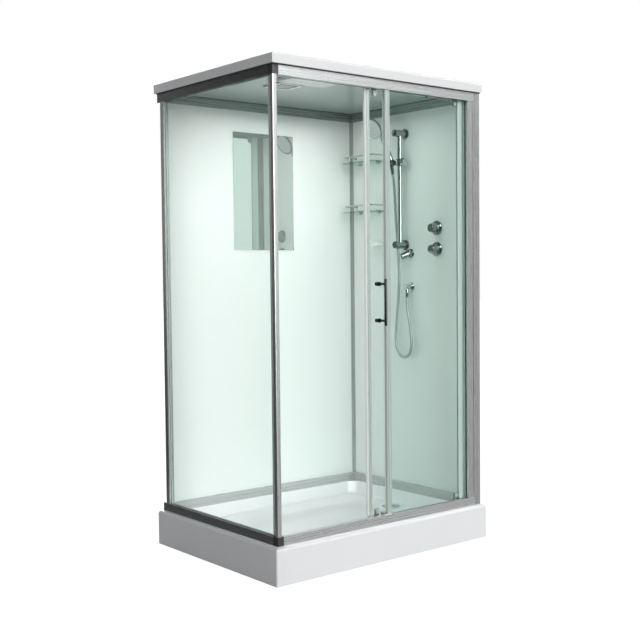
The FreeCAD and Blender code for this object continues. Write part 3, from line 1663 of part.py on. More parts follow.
def make_hose():
    nut_x, nut_z = on_handset(ZERO, -d.grip_foot - d.hose_nut_long)
    top = Vector(nut_x.value, holder_y.value, nut_z.value)
    foot_z = d.elbow_height - d.elbow_drop - d.hose_nut_long
    foot = Vector((right_wall - d.elbow_forward).value, d.elbow_setback.value, foot_z.value)
    x, z = on_handset(ZERO, -d.grip_foot - d.hose_nut_long - d.hose_lead)
    lead = Vector(x.value, holder_y.value, z.value)
    tail = foot - Z_AXIS * d.hose_lead.value
    points = [top, lead] + [Vector(*point) for point in HOSE_ROUTE] + [tail, foot]
    shape, radii, length = tube(points, d.hose_radius.value)
    solid("hose", shape, ZERO, ZERO, ZERO)
    section = math.pi * d.hose_radius.value**2
    print("hose radii", [round(radius) for radius in radii])
    print("hose length", round(length), "volume share", round(shape.Volume / section / length, 4))

    turned("hose_nut", NUT_PROFILE, nut_x, holder_y, nut_z, Y_AXIS, -SIZES["holder_tilt"])


def make_elbow():
    elbow = new_body("Elbow", listed=False)
    flange, body_radius = d.elbow_flange_thick, d.elbow_radius
    reach = d.elbow_forward + d.elbow_spout_radius
    profile = [
        (ZERO, ZERO),
        (d.elbow_flange_radius, ZERO),
        (d.elbow_flange_radius, flange / 2),
        (d.elbow_flange_radius - flange / 2, flange),
        (body_radius, flange),
        (body_radius, reach),
        (body_radius - d.bracket_edge_round, reach + d.bracket_edge_round),
        (ZERO, reach + d.bracket_edge_round),
    ]
    turn(elbow, draw(elbow, XZ, [profile]))
    spout = draw(elbow, YZ, [ring(ZERO, d.elbow_forward, d.elbow_spout_radius)])
    pad(elbow, spout, d.elbow_drop, back=True)
    place(elbow, right_wall, d.elbow_setback, d.elbow_height, Y_AXIS, -90)
    nut_z = d.elbow_height - d.elbow_drop - d.hose_nut_long
    x = right_wall - d.elbow_forward
    nut = turned("ElbowNut", NUT_PROFILE, x, d.elbow_setback, nut_z, listed=False)
    group("wall_elbow", [elbow, nut])


def make_lower_outlet():
    """Short spout that leaves the wall aslant below the riser rail."""
    outlet = new_body("lower_outlet")
    flange = d.elbow_flange_thick
    plate = [
        (ZERO, ZERO),
        (d.elbow_flange_radius, ZERO),
        (d.elbow_flange_radius, flange / 2),
        (d.elbow_flange_radius - flange / 2, flange),
        (ZERO, flange),
    ]
    turn(outlet, draw(outlet, XZ, [plate]))
    collar = d.outlet_radius + gauge
    pad(outlet, draw(outlet, XY, [ring(ZERO, ZERO, collar)]), d.outlet_collar)
    lean = Vector(-d.outlet_drop.value, d.outlet_sideways.value, d.outlet_forward.value)
    spout = draw(outlet, XY, [ring(ZERO, ZERO, d.outlet_radius)])
    spout.AttachmentOffset = Placement(Vector(), Rotation(Z_AXIS, lean))
    root = d.outlet_collar * OUTLET_ROOT_SHARE
    spout.setExpression("AttachmentOffset.Base.z", root.text)
    pad(outlet, spout, d.outlet_long)
    mouth = draw(outlet, XY, [ring(ZERO, ZERO, d.outlet_bore_radius)])
    tip = lean.normalize() * d.outlet_long.value
    mouth.AttachmentOffset = Placement(tip, Rotation(Z_AXIS, lean))
    mouth.setExpression("AttachmentOffset.Base.z", (d.outlet_long * lean.z + root).text)
    pocket(outlet, mouth, d.outlet_bore_deep)
    place(outlet, right_wall, d.elbow_setback, d.outlet_height, Y_AXIS, -90)


# Mixer behind the wall, its rosettes and knobs


def make_mixer():
    """Brazed valve with two cartridge necks, two threaded inlets and the pipes to both outlets."""
    valve = new_body("mixer_body")
    foot = d.mixer_lower - d.valve_overhang
    head = d.mixer_upper + d.valve_overhang
    pad(valve, draw(valve, XY, [ring(ZERO, ZERO, d.valve_radius)], foot), head - foot)
    levels = (d.mixer_upper, d.mixer_lower)
    necks = [ring(ZERO, z, d.neck_radius_mixer) for z in levels]
    pad(valve, draw(valve, YZ, necks), d.valve_offset, back=True)
    stems = [ring(ZERO, z, d.stem_radius) for z in levels]
    stem_reach = d.valve_offset + d.rosette_thick + d.knob_gap + d.stem_long
    pad(valve, draw(valve, YZ, stems), stem_reach, back=True)
    spots = (foot + d.inlet_inset, head - d.inlet_inset)
    shoulder = d.valve_radius + d.inlet_collar
    pad(valve, draw(valve, YZ, [ring(ZERO, z, d.inlet_radius) for z in spots]), shoulder + d.inlet_long)
    pad(valve, draw(valve, YZ, [ring(ZERO, z, d.inlet_radius + gauge) for z in spots]), shoulder)
    run = d.elbow_setback - d.mixer_setback
    drop = foot - d.elbow_height
    pad(valve, draw(valve, XY, [ring(ZERO, ZERO, d.pipe_radius)], foot), drop, back=True)
    pipes = [ring(ZERO, z, d.pipe_radius) for z in (d.outlet_height, d.elbow_height)]
    pad(valve, draw(valve, XZ, pipes), run, back=True)
    ends = [ring(run, z, d.pipe_radius) for z in (d.outlet_height, d.elbow_height)]
    pad(valve, draw(valve, YZ, ends), d.valve_offset, back=True)
    fitting = d.fitting_radius
    corners = [ring(run, z, fitting) for z in (d.outlet_height, d.elbow_height)]
    corners.append(ring(ZERO, d.elbow_height, fitting))
    pad(valve, draw(valve, YZ, corners, -fitting), fitting * 2)
    place(valve, right_wall + d.valve_offset, d.mixer_setback, ZERO)

    profile = [
        (d.neck_radius_mixer + d.rosette_gap, ZERO),
        (d.rosette_radius, ZERO),
        (d.rosette_radius, d.rosette_thick / 2),
        (d.rosette_radius - d.rosette_thick / 2, d.rosette_thick),
        (d.neck_radius_mixer + d.rosette_gap, d.rosette_thick),
    ]
    one = turned("Rosette", profile, ZERO, ZERO, ZERO, listed=False)
    group("mixer_rosettes", [
        copy_of(one, right_wall, d.mixer_setback, z, Y_AXIS, -90) for z in levels
    ])
    for name, z in (("diverter", d.mixer_upper), ("temperature", d.mixer_lower)):
        make_knob(f"{name}_knob", z)


def make_knob(label, z):
    """Turned knob with a round skirt and three finger scallops, bored for its stem."""
    knob = new_body(label)
    skirt, long = d.knob_skirt, d.knob_long
    profile = [
        (ZERO, ZERO),
        (d.knob_radius, ZERO),
        (d.knob_radius, skirt),
        (d.knob_radius * KNOB_WAIST_SHARE, skirt + skirt / 4),
        (d.knob_nose_radius, long - skirt / 4),
        (d.knob_nose_radius - skirt / 4, long),
        (ZERO, long),
    ]
    turn(knob, draw(knob, XZ, [profile]))
    scallop = ring(d.knob_scallop_reach, ZERO, d.knob_scallop_radius)
    cut = pocket(knob, draw(knob, XY, [scallop], long), long - skirt)
    doc.recompute()
    around(knob, cut, 3)
    bore = draw(knob, XY, [ring(ZERO, ZERO, d.stem_radius + d.running_gap)])
    pocket(knob, bore, d.stem_long + d.knob_gap, back=True)
    place(knob, right_wall - d.rosette_thick - d.knob_gap, d.mixer_setback, z, Y_AXIS, -90)


# Shelves, soap dish and mirror


def make_shelves():
    """Two glass shelves, each under a bent guard rail and held by two wall clamps."""
    wide, long, thick = d.shelf_deep, d.shelf_long, d.shelf_thick
    start = back_wall - d.shelf_setback - long
    glass = new_body("ShelfGlass", listed=False)
    plate = pad(glass, draw(glass, XY, [rect(-wide, ZERO, ZERO, long)]), thick)

    def is_outer_corner(edge):
        return is_upright(edge) and abs(edge.BoundBox.XMax + wide.value) < TOUCH

    fillet(glass, plate, edges_where(plate, is_outer_corner), d.shelf_round)
    levels = (d.shelf_lower_height, d.shelf_upper_height)
    group("shelf_glasses", [copy_of(glass, right_wall, start, z) for z in levels])

    inset, rod = d.shelf_rail_inset, d.shelf_rail_radius
    rail_z = (thick + d.shelf_rail_rise).value
    outer, near, far = (-wide + inset).value, inset.value, (long - inset).value
    points = [
        Vector(0, near, rail_z),
        Vector(outer, near, rail_z),
        Vector(outer, far, rail_z),
        Vector(0, far, rail_z),
    ]
    rail, _, _ = tube(points, rod.value, d.shelf_rail_bend.value)
    for y in (near, far):
        base = Part.makeCylinder(
            d.shelf_foot_radius.value, d.shelf_foot_thick.value, Vector(0, y, rail_z), -X_AXIS
        )
        rail = rail.fuse(base)
    for share in SHELF_POST_SHARES:
        y = near + (far - near) * share
        post = Part.makeCylinder(
            d.shelf_post_radius.value, d.shelf_rail_rise.value, Vector(outer, y, thick.value), Z_AXIS
        )
        rail = rail.fuse(post)
    guard = doc.addObject("Part::Feature", "GuardRail")
    guard.Shape = rail
    clamp = new_body("ShelfClamp", listed=False)
    half = d.shelf_clamp_radius
    pad(clamp, draw(clamp, YZ, [ring(ZERO, thick / 2, half)]), d.shelf_clamp_long, back=True)
    slot = rect(-half * 2, ZERO, half * 2, thick)
    pocket(clamp, draw(clamp, YZ, [slot]), d.shelf_clamp_long)
    members = []
    for z in levels:
        members.append(copy_of(guard, right_wall, start, z))
        for y in (d.shelf_clamp_inset, long - d.shelf_clamp_inset):
            members.append(copy_of(clamp, right_wall, start + y, z))
    group("shelf_frames", members)


def make_soap_dish():
    dish = new_body("soap_dish")
    wide, long, wall = d.dish_deep, d.dish_long, d.dish_wall
    pad(dish, draw(dish, XY, [rect(-wide, ZERO, ZERO, long)]), d.dish_tall)
    well = rect(-wide + wall, wall, -wall, long - wall)
    hollow = pocket(dish, draw(dish, XY, [well], d.dish_tall), d.dish_tall - wall)

    def is_well_corner(edge):
        return is_upright(edge) and abs(edge.BoundBox.ZMin - wall.value) < TOUCH

    def is_outer_corner(edge):
        return is_upright(edge) and abs(edge.BoundBox.XMax + wide.value) < TOUCH

    lined = fillet(dish, hollow, edges_where(hollow, is_well_corner), d.dish_round - wall)
    fillet(dish, lined, edges_where(lined, is_outer_corner), d.dish_round)
    place(dish, right_wall, d.dish_start, d.dish_height)


def make_mirror():
    y = back_wall - d.mirror_thick
    pane("mirror", d.mirror_width, d.mirror_thick, d.mirror_tall, d.mirror_left, y, d.mirror_foot)


def write_all():
    """Check every object, then write each piece to its own file."""
    doc.recompute()
    faults = [o.Label for o in doc.Objects if {"Invalid", "Error"} & set(o.State)]
    if faults:
        raise SystemExit(f"failed objects: {faults}")
    for cut in doc.findObjects("PartDesign::Pocket"):
        if cut.Shape.Volume >= cut.BaseFeature.Shape.Volume:
            raise SystemExit(f"this pocket cuts nothing: {cut.Name}")
    for obj in NODES:
        shape = obj.Shape
        if shape.isNull() or not shape.isValid() or not shape.Solids:
            raise SystemExit(f"bad shape: {obj.Label}")
        shape.exportStep(f"parts/{obj.Label}.step")
    print(len(NODES), "pieces")


make_tray()
make_tray_support()
make_waste()
make_rails()
make_posts()
make_corner_joints()
make_glazing()
make_seals()
make_fillers()
make_fixed_edge()
make_door()
make_rollers()
make_handle()
make_roof()
make_fan()
make_light()
make_riser()
make_slider()
make_holder()
make_handset()
make_spray_face()
make_hose()
make_elbow()
make_lower_outlet()
make_mixer()
make_shelves()
make_soap_dish()
make_mirror()
write_all()
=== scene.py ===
import math

import bmesh
import bpy
from mathutils import Matrix, Vector


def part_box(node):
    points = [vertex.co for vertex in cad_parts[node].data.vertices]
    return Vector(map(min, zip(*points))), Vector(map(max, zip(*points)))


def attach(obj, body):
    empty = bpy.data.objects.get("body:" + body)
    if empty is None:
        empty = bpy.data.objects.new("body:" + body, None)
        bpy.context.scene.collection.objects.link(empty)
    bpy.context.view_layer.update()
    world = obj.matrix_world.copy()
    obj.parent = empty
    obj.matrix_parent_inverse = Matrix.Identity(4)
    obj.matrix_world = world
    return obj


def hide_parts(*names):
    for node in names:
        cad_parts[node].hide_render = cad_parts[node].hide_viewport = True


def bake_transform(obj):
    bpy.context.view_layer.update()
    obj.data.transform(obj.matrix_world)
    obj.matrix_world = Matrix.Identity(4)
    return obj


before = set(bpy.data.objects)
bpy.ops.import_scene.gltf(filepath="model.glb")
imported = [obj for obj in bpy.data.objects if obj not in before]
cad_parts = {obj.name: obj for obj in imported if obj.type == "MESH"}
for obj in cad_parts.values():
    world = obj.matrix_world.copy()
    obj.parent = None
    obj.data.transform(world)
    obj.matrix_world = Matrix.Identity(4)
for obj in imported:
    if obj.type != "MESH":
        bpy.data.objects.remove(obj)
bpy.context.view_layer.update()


# Camera: a little above the door handle, off the front left corner, looking through the front
# at the fittings on the right wall. A long lens keeps the tall frame upright.
def link(name, data):
    """Puts a new object in the scene."""
    thing = bpy.data.objects.new(name, data)
    bpy.context.scene.collection.objects.link(thing)
    return thing


eye = Vector((-2.9906, -3.6716, 1.2164))
heading, dip, bank = math.radians(50.91), math.radians(-2.57), math.radians(-0.58)
forward = Vector((math.cos(dip) * math.cos(heading), math.cos(dip) * math.sin(heading), math.sin(dip)))
level = Vector((math.sin(heading), -math.cos(heading), 0))
overhead = level.cross(forward)
across = level * math.cos(bank) + overhead * math.sin(bank)
upward = overhead * math.cos(bank) - level * math.sin(bank)
lens = bpy.data.cameras.new("lens")
lens.sensor_width = 36
lens.lens = 58.97
camera = link("camera", lens)
turn = Matrix((across, upward, -forward)).transposed().to_4x4()
camera.matrix_world = Matrix.Translation(eye) @ turn
bpy.context.scene.camera = camera


# Hose: a limp shower hose in a silvery ribbed sleeve, its troughs darkened between the crests as painted
# shade. It hangs from the hand shower's nut, falls past the riser bar, loops under it and rises into the wall
# elbow's nut.
class Wire:
    """A value on its way through a tree of nodes; arithmetic on it adds Math nodes."""

    def __init__(self, tree, socket):
        self.tree, self.socket = tree, socket

    def math(self, operation, *values):
        return self.tree.node("ShaderNodeMath", {"operation": operation}, dict(enumerate(values)))

    def __add__(self, other):
        return self.math("ADD", self, other)

    def __sub__(self, other):
        return self.math("SUBTRACT", self, other)

    def __rsub__(self, other):
        return self.math("SUBTRACT", other, self)

    def __mul__(self, other):
        return self.math("MULTIPLY", self, other)

    def __truediv__(self, other):
        return self.math("DIVIDE", self, other)

    def __mod__(self, other):
        return self.math("MODULO", self, other)

    def __pow__(self, other):
        return self.math("POWER", self, other)

    def __abs__(self):
        return self.math("ABSOLUTE", self)

    __radd__, __rmul__ = __add__, __mul__


class Tree:
    """A tree of nodes, empty at first."""

    def __init__(self, tree):
        self.tree = tree
        tree.nodes.clear()

    def node(self, kind, settings=None, sockets=None, out=0):
        """Adds a node, its settings first and then its sockets, and gives the outputs asked for."""
        made = self.tree.nodes.new(kind)
        for key, value in (settings or {}).items():
            setattr(made, key, value)
        for key, value in (sockets or {}).items():
            if isinstance(value, Wire):
                self.tree.links.new(value.socket, made.inputs[key])
            else:
                made.inputs[key].default_value = value
        if isinstance(out, tuple):
            return [Wire(self, made.outputs[key]) for key in out]
        return Wire(self, made.outputs[out]) if made.outputs else None


class Finish(Tree):
    """One finish of the cabin and the nodes that make it."""

    def __init__(self, name):
        self.material = bpy.data.materials.new(name)
        self.material.use_nodes = True
        super().__init__(self.material.node_tree)

    def place(self, stretch=(1, 1, 1)):
        """Where a point lies on the object, in metres, drawn out along the axes."""
        point = self.node("ShaderNodeTexCoord", out="Object")
        return self.node("ShaderNodeMapping", None, {"Vector": point, "Scale": stretch})

    def noise(self, scale, detail=2, stretch=(1, 1, 1)):
        sockets = {"Vector": self.place(stretch), "Scale": scale, "Detail": detail}
        return self.node("ShaderNodeTexNoise", None, sockets)

    def blend(self, share, first, second):
        """A colour between two others, which go into the Mix node's sockets 6 and 7."""
        sockets = {"Factor": share, 6: (*first, 1), 7: (*second, 1)}
        return self.node("ShaderNodeMix", {"data_type": "RGBA"}, sockets, out=2)

    def mottle(self, share, darkest, colour):
        """A colour that sinks to a share of itself, the darkest, where the pattern is low."""
        return self.blend(share, [part * darkest for part in colour], colour)

    def bump(self, height, depth, strength):
        return self.node("ShaderNodeBump", None, {"Height": height, "Distance": depth, "Strength": strength})

    def done(self, surface=None, **sockets):
        """Ends the finish on a plain surface shader, or on the one given."""
        if surface is None:
            named = {key.replace("_", " "): value for key, value in sockets.items()}
            surface = self.node("ShaderNodeBsdfPrincipled", None, named)
        self.node("ShaderNodeOutputMaterial", None, {"Surface": surface})
        return self.material


class Form(Tree):
    """A tree of geometry nodes for what repeats or follows a path."""

    def __init__(self, name, **inputs):
        super().__init__(bpy.data.node_groups.new(name, "GeometryNodeTree"))
        face = self.tree.interface
        face.new_socket("Start", in_out="INPUT", socket_type="NodeSocketGeometry")
        kinds = {float: "NodeSocketFloat", bpy.types.Object: "NodeSocketObject",
                 bpy.types.Material: "NodeSocketMaterial"}
        self.values = {}
        for key, value in inputs.items():
            socket = face.new_socket(key, in_out="INPUT", socket_type=kinds[type(value)])
            self.values[socket.identifier] = value
        face.new_socket("Made", in_out="OUTPUT", socket_type="NodeSocketGeometry")
        self.entry = self.tree.nodes.new("NodeGroupInput").outputs

    def __getitem__(self, name):
        """One of the tree's inputs."""
        return Wire(self, self.entry[name])

    def make(self, name, made, carrier):
        """Runs the tree on its carrier and keeps the result as a plain mesh."""
        whole = self.node("GeometryNodeRealizeInstances", None, {"Geometry": made})
        dressed = self.node("GeometryNodeSetMaterial", None, {"Geometry": whole, "Material": self["Finish"]})
        self.node("NodeGroupOutput", None, {"Made": dressed})
        modifier = carrier.modifiers.new("form", "NODES")
        modifier.node_group = self.tree
        for key, value in self.values.items():
            modifier[key] = value
        ready = carrier.evaluated_get(bpy.context.evaluated_depsgraph_get())
        mesh = bpy.data.meshes.new_from_object(ready)
        bpy.data.objects.remove(carrier)
        return link(name, mesh)


sleeve = Finish("hose_sleeve")
# The rib mark darkens the sleeve's troughs as painted shade and leaves the crests light.
rib = sleeve.node("ShaderNodeAttribute", {"attribute_name": "rib"}, out="Fac")
film = sleeve.noise(40, 3)
sleeve.done(Base_Color=sleeve.blend(rib, (0.26, 0.28, 0.28), (0.62, 0.65, 0.645)),
            Roughness=0.28 + film * 0.14, Metallic=0.6, Coat_Weight=0.6, Coat_Roughness=0.08)

hose_length, hose_width = 1.21, 0.014
hose_route = [
    (0.4966, 0.052, 1.6872), (0.5041, 0.052, 1.652), (0.509, 0.054, 1.602), (0.512, 0.051, 1.507),
    (0.512, 0.043, 1.4), (0.51, 0.031, 1.295), (0.509, 0.024, 1.205), (0.51, 0.03, 1.115),
    (0.511, 0.04, 1.03), (0.512, 0.05, 0.955), (0.512, 0.054, 0.9), (0.512, 0.053, 0.857),
    (0.512, 0.031, 0.815), (0.512, -0.006, 0.803), (0.512, -0.041, 0.82), (0.512, -0.055, 0.859),
    (0.512, -0.052, 0.912), (0.512, -0.04, 0.985), (0.512, -0.028, 1.035), (0.512, -0.025, 1.062),
    (0.512, -0.025, 1.098),
]
line = bpy.data.curves.new("hose_line", "CURVE")
line.dimensions = "3D"
line.resolution_u = 24
spline = line.splines.new("NURBS")
spline.points.add(len(hose_route) - 1)
for point, place in zip(spline.points, hose_route):
    point.co = (*place, 1)
spline.order_u = 3
spline.use_endpoint_u = True
hose_line = link("hose_line", line)
bpy.context.view_layer.update()
run = bpy.data.meshes.new_from_object(hose_line.evaluated_get(bpy.context.evaluated_depsgraph_get()))

rings_per_rib = 4
form = Form("ribbed_sleeve", Radius=hose_width / 2, Pitch=0.0036, Depth=0.0005, Finish=sleeve.material)
rings = form.node("GeometryNodeResampleCurve", {"mode": "LENGTH"}, {
    "Curve": form["Start"], "Length": form["Pitch"] / rings_per_rib})
ring_in_rib = form.node("GeometryNodeInputIndex") % rings_per_rib
crest = abs(ring_in_rib - rings_per_rib / 2) / (rings_per_rib / 2)
# The crest is stored on the rings, where the sleeve's colour reads it as painted shade in the troughs.
marked = form.node("GeometryNodeStoreNamedAttribute", {"data_type": "FLOAT", "domain": "POINT"}, {
    "Geometry": rings, "Name": "rib", "Value": crest})
hoop = form.node("GeometryNodeCurvePrimitiveCircle", None, {"Resolution": 14, "Radius": 1.0})
tube = form.node("GeometryNodeCurveToMesh", None, {
    "Curve": marked, "Profile Curve": hoop, "Scale": form["Radius"] - form["Depth"] * (1 - crest),
    "Fill Caps": True})
smooth = form.node("GeometryNodeSetShadeSmooth", None, {"Geometry": tube})
hose = form.make("hose_sleeve", smooth, hose_line)
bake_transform(hose)
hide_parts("hose")


# Studio: a white floor and sky, a broad lamp in front, a weaker one behind and two soft lamps
# inside the cabin. Metal and glass mirror another sky instead, darker at the sides and above
# eye level but for one bright panel, and a grey floor that darkens towards the left.
def ramp(tree, value, start, end, low=0.0, high=1.0):
    """Goes from low to high while the value goes from start to end."""
    sockets = {"Value": value, "From Min": start, "From Max": end, "To Min": low, "To Max": high}
    return tree.node("ShaderNodeMapRange", None, sockets)


def either(tree, share, first, second):
    """One shader, or the other where the share is 1."""
    return tree.node("ShaderNodeMixShader", None, {0: share, 1: first, 2: second})


def hang(light, way, spot=(0, 0, 0)):
    """Puts a lamp in the studio and aims it."""
    lamp = link(light.name, light)
    lamp.location = spot
    lamp.rotation_euler = Vector(way).to_track_quat("-Z", "Y").to_euler()
    return lamp


bpy.context.scene.view_settings.view_transform = "Standard"
white = (1, 1, 1, 1)
world = bpy.data.worlds.new("studio")
bpy.context.scene.world = world
world.use_nodes = True
sky = Tree(world.node_tree)
direction = sky.node("ShaderNodeTexCoord", out="Generated")
x, y, z = sky.node("ShaderNodeSeparateXYZ", None, {"Vector": direction}, out=("X", "Y", "Z"))
left, right = ramp(sky, x, -0.5, -0.34, 0.08, 1.6), ramp(sky, x, 0.2, 0.5, 1.0, 0.65)
far_right, above = ramp(sky, x, 0.58, 0.7, 1.0, 0.25), ramp(sky, z, 0.2, 0.28, 1.0, 0.1)
panel_foot, panel_head = ramp(sky, z, 0.3, 0.36, 0.0, 5.0), ramp(sky, z, 0.7, 0.62)
panel_side = ramp(sky, y, -0.1, -0.3)
glow = left * right * far_right * above + panel_foot * panel_head * panel_side
plain = sky.node("ShaderNodeBackground", None, {"Color": white, "Strength": 1.0})
mirrored = sky.node("ShaderNodeBackground", None, {"Color": white, "Strength": glow})
ambient = sky.node("ShaderNodeBackground", None, {"Color": (0.96, 0.98, 1, 1), "Strength": 0.25})
seen, in_metal, through_glass = sky.node(
    "ShaderNodeLightPath", out=("Is Camera Ray", "Is Glossy Ray", "Is Transmission Ray"))
backdrop = either(sky, through_glass, either(sky, in_metal, ambient, mirrored), plain)
sky.node("ShaderNodeOutputWorld", None, {"Surface": either(sky, seen, backdrop, plain)})

floor_reach, floor_level = 30, -0.001
floor_corners = [(x * floor_reach, y * floor_reach, floor_level)
                 for x, y in ((-1, -1), (1, -1), (1, 1), (-1, 1))]
floor_mesh = bpy.data.meshes.new("studio_floor")
floor_mesh.from_pydata(floor_corners, [], [range(len(floor_corners))])
floor = link("studio_floor", floor_mesh)
ground = Finish("studio_floor")
seen, in_metal = ground.node("ShaderNodeLightPath", out=("Is Camera Ray", "Is Glossy Ray"))
paint = ground.node("ShaderNodeBsdfDiffuse", None, {"Color": (0.5, 0.5, 0.5, 1)})
lift = ground.node("ShaderNodeEmission", None, {"Strength": seen * 0.9})
paint = ground.node("ShaderNodeAddShader", None, {0: paint, 1: lift})
rightward = ground.node("ShaderNodeSeparateXYZ", None, {"Vector": ground.place()}, out="X")
grey = ground.node("ShaderNodeEmission", None, {"Strength": ramp(ground, rightward, -1.4, -0.2, 0.05, 0.42)})
floor_mesh.materials.append(ground.done(either(ground, in_metal, paint, grey)))

lamp_disc = math.radians(45)
for name, power, way in (("front_lamp", 2.7, (0.02, 0.97, -0.13)), ("rear_lamp", 1.2, (-0.5, -0.7, -0.5))):
    light = bpy.data.lights.new(name, "SUN")
    light.energy = power
    light.angle = lamp_disc
    hang(light, way)

for name, power, wide, deep, spot, way in (("ceiling_lamp", 2.5, 0.8, 0.6, (0, 0, 1.96), (0, 0, -1)),
                                           ("side_lamp", 2.7, 0.7, 1.7, (-0.53, -0.1, 1.0), (1, 0, 0))):
    light = bpy.data.lights.new(name, "AREA")
    light.energy = power
    light.shape = "RECTANGLE"
    light.size, light.size_y = wide, deep
    lamp = hang(light, way, spot)
    lamp.visible_camera = lamp.visible_glossy = False


# Tray: vacuum-formed white acrylic, glossy, with the faint unevenness of a sheet drawn over
# a mould. The roof cap, the ceiling, the grille and the soap dish are of the same stuff.
def dress(material, *names):
    """Gives CAD nodes their finish; their round faces are shaded smooth."""
    for name in names:
        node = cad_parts[name]
        node.data.materials.clear()
        node.data.materials.append(material)
        for face in node.data.polygons:
            face.use_smooth = True
        weld = node.modifiers.new("weld", "WELD")
        weld.merge_threshold = 0.00002
        split = node.modifiers.new("split", "EDGE_SPLIT")
        split.split_angle = math.radians(32)


def acrylic(name, colour, gloss):
    finish = Finish(name)
    cloud = finish.noise(3, 3)
    peel = finish.noise(70, 2)
    return finish.done(Base_Color=finish.mottle(cloud, 0.97, colour), Roughness=gloss + peel * 0.06,
                       Coat_Weight=0.35, Coat_Roughness=0.05, Normal=finish.bump(peel, 0.0004, 0.25))


dress(acrylic("tray_acrylic", (0.91, 0.92, 0.935), 0.16), "tray")


# Sealing: a fine bead of silicone along the foot of the rails, where they stand on the tray. It
# is wiped with a finger and runs once round the rails' outer faces.
def clad(piece, material, body):
    """Gives a new piece its finish and the body that carries it."""
    piece.data.materials.clear()
    piece.data.materials.append(material)
    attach(piece, body)


def bead(name, material, body, width, *paths):
    """Round beads of one width along polylines."""
    line = bpy.data.curves.new(name, "CURVE")
    line.dimensions = "3D"
    for path in paths:
        spline = line.splines.new("POLY")
        spline.points.add(len(path) - 1)
        for point, place in zip(spline.points, path):
            point.co = (*place, 1)
    form = Form(name, Radius=width / 2, Finish=material)
    hoop = form.node("GeometryNodeCurvePrimitiveCircle", None, {"Resolution": 8, "Radius": 1.0})
    tube = form.node("GeometryNodeCurveToMesh", None, {
        "Curve": form["Start"], "Profile Curve": hoop, "Scale": form["Radius"], "Fill Caps": True})
    smooth = form.node("GeometryNodeSetShadeSmooth", None, {"Geometry": tube})
    clad(form.make(name, smooth, link(name, line)), material, body)


left_face, front_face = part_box("bottom_rail_left")[0].x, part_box("bottom_rail_front")[0].y
right_face, back_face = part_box("bottom_wall_rails")[1].xy
off_face = 0.0005


def round_the_rails(height):
    """A path just off the outer faces, from the rear left corner and back to it."""
    left, right = left_face - off_face, right_face + off_face
    front, back = front_face - off_face, back_face + off_face
    return [(left, back_face, height), (left, front, height), (right, front, height),
            (right, back, height), (left, back, height)]


silicone = Finish("silicone_bead")
wiped = silicone.noise(60, 2)
silicone.done(Base_Color=silicone.blend(wiped, (0.7, 0.72, 0.71), (0.8, 0.82, 0.81)),
              Roughness=0.25 + wiped * 0.2, Normal=silicone.bump(wiped, 0.0006, 0.5))
tray_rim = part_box("bottom_rail_front")[0].z
bead("foot_silicone", silicone.material, "cabin", 0.003, round_the_rails(tray_rim + off_face))


# Support under the tray: a welded ladder of painted square tube on zinc-plated feet with
# locking nuts, hidden behind the apron. The door's steel carriages are zinc-plated too.
frame_paint = Finish("frame_paint")
grit = frame_paint.noise(900, 2)
frame_paint.done(Base_Color=frame_paint.blend(grit, (0.05, 0.05, 0.055), (0.08, 0.08, 0.085)),
                 Roughness=0.45 + grit * 0.2, Normal=frame_paint.bump(grit, 0.0003, 0.5))
dress(frame_paint.material, "tray_support_frame")
zinc = Finish("zinc_plate")
spangle = zinc.node("ShaderNodeTexVoronoi", None, {"Vector": zinc.place(), "Scale": 260.0})
zinc.done(Base_Color=zinc.blend(spangle, (0.5, 0.51, 0.52), (0.62, 0.63, 0.63)),
          Metallic=0.9, Roughness=0.32 + spangle * 0.2)
dress(zinc.material, "levelling_feet", "roller_carriages")


# Waste: a chromed flange and slotted cover in the tray floor, over a moulded trap of black
# plastic. The nut on the trap's outlet has fine grip lines for the fingers.
def chrome(name, colour, gloss):
    finish = Finish(name)
    haze = finish.noise(30, 3)
    return finish.done(Base_Color=finish.mottle(haze, 0.94, colour), Metallic=1.0,
                       Roughness=gloss + haze * 0.05)


def moulded(name, colour, gloss, grain=350):
    """Moulded plastic or rubber with a fine grain."""
    finish = Finish(name)
    fine = finish.noise(grain, 2)
    return finish.done(Base_Color=finish.mottle(fine, 0.9, colour), Roughness=gloss + fine * 0.12,
                       Normal=finish.bump(fine, 0.0002, 0.4))


polished = chrome("polished_chrome", (0.55, 0.58, 0.57), 0.02)
dress(polished, "waste_flange", "waste_cover")
black_plastic = moulded("black_plastic", (0.03, 0.03, 0.033), 0.4)
dress(black_plastic, "waste_trap", "fan_frame", "fan_rotor")
nut_x, nut_z, nut_radius, nut_ends, grip_count = 0.42, 0.038, 0.026, (0.303, 0.325), 24
grips = []
for step in range(grip_count):
    angle = math.tau * step / grip_count
    x, z = nut_x + nut_radius * math.cos(angle), nut_z + nut_radius * math.sin(angle)
    grips.append([(x, y, z) for y in nut_ends])
bead("trap_nut_grips", black_plastic, "cabin", 0.003, *grips)


# Rails and posts: extruded aluminium with fine die lines along each length, in lit and shaded copies of one
# anodised finish: the wall rails, the left rails, the rear corner, the left wall profile and the fixed pane's
# edge are darkened as painted shade, and the door's two edge profiles are pale and matt as painted sheen.
# Black plastic joints close the corner post, a chromed clip holds the fixed pane, and snap-in plastic fillers
# close the empty slots beside the doorway.
def anodised(name, stretch, colour, shine=0.85):
    finish = Finish(name)
    lines = finish.noise(1, 3, stretch)
    cloud = finish.noise(5, 2)
    return finish.done(Base_Color=finish.mottle(lines * 0.7 + cloud * 0.3, 0.86, colour), Metallic=shine,
                       Roughness=0.2 + lines * 0.14, Normal=finish.bump(lines, 0.0001, 0.25))


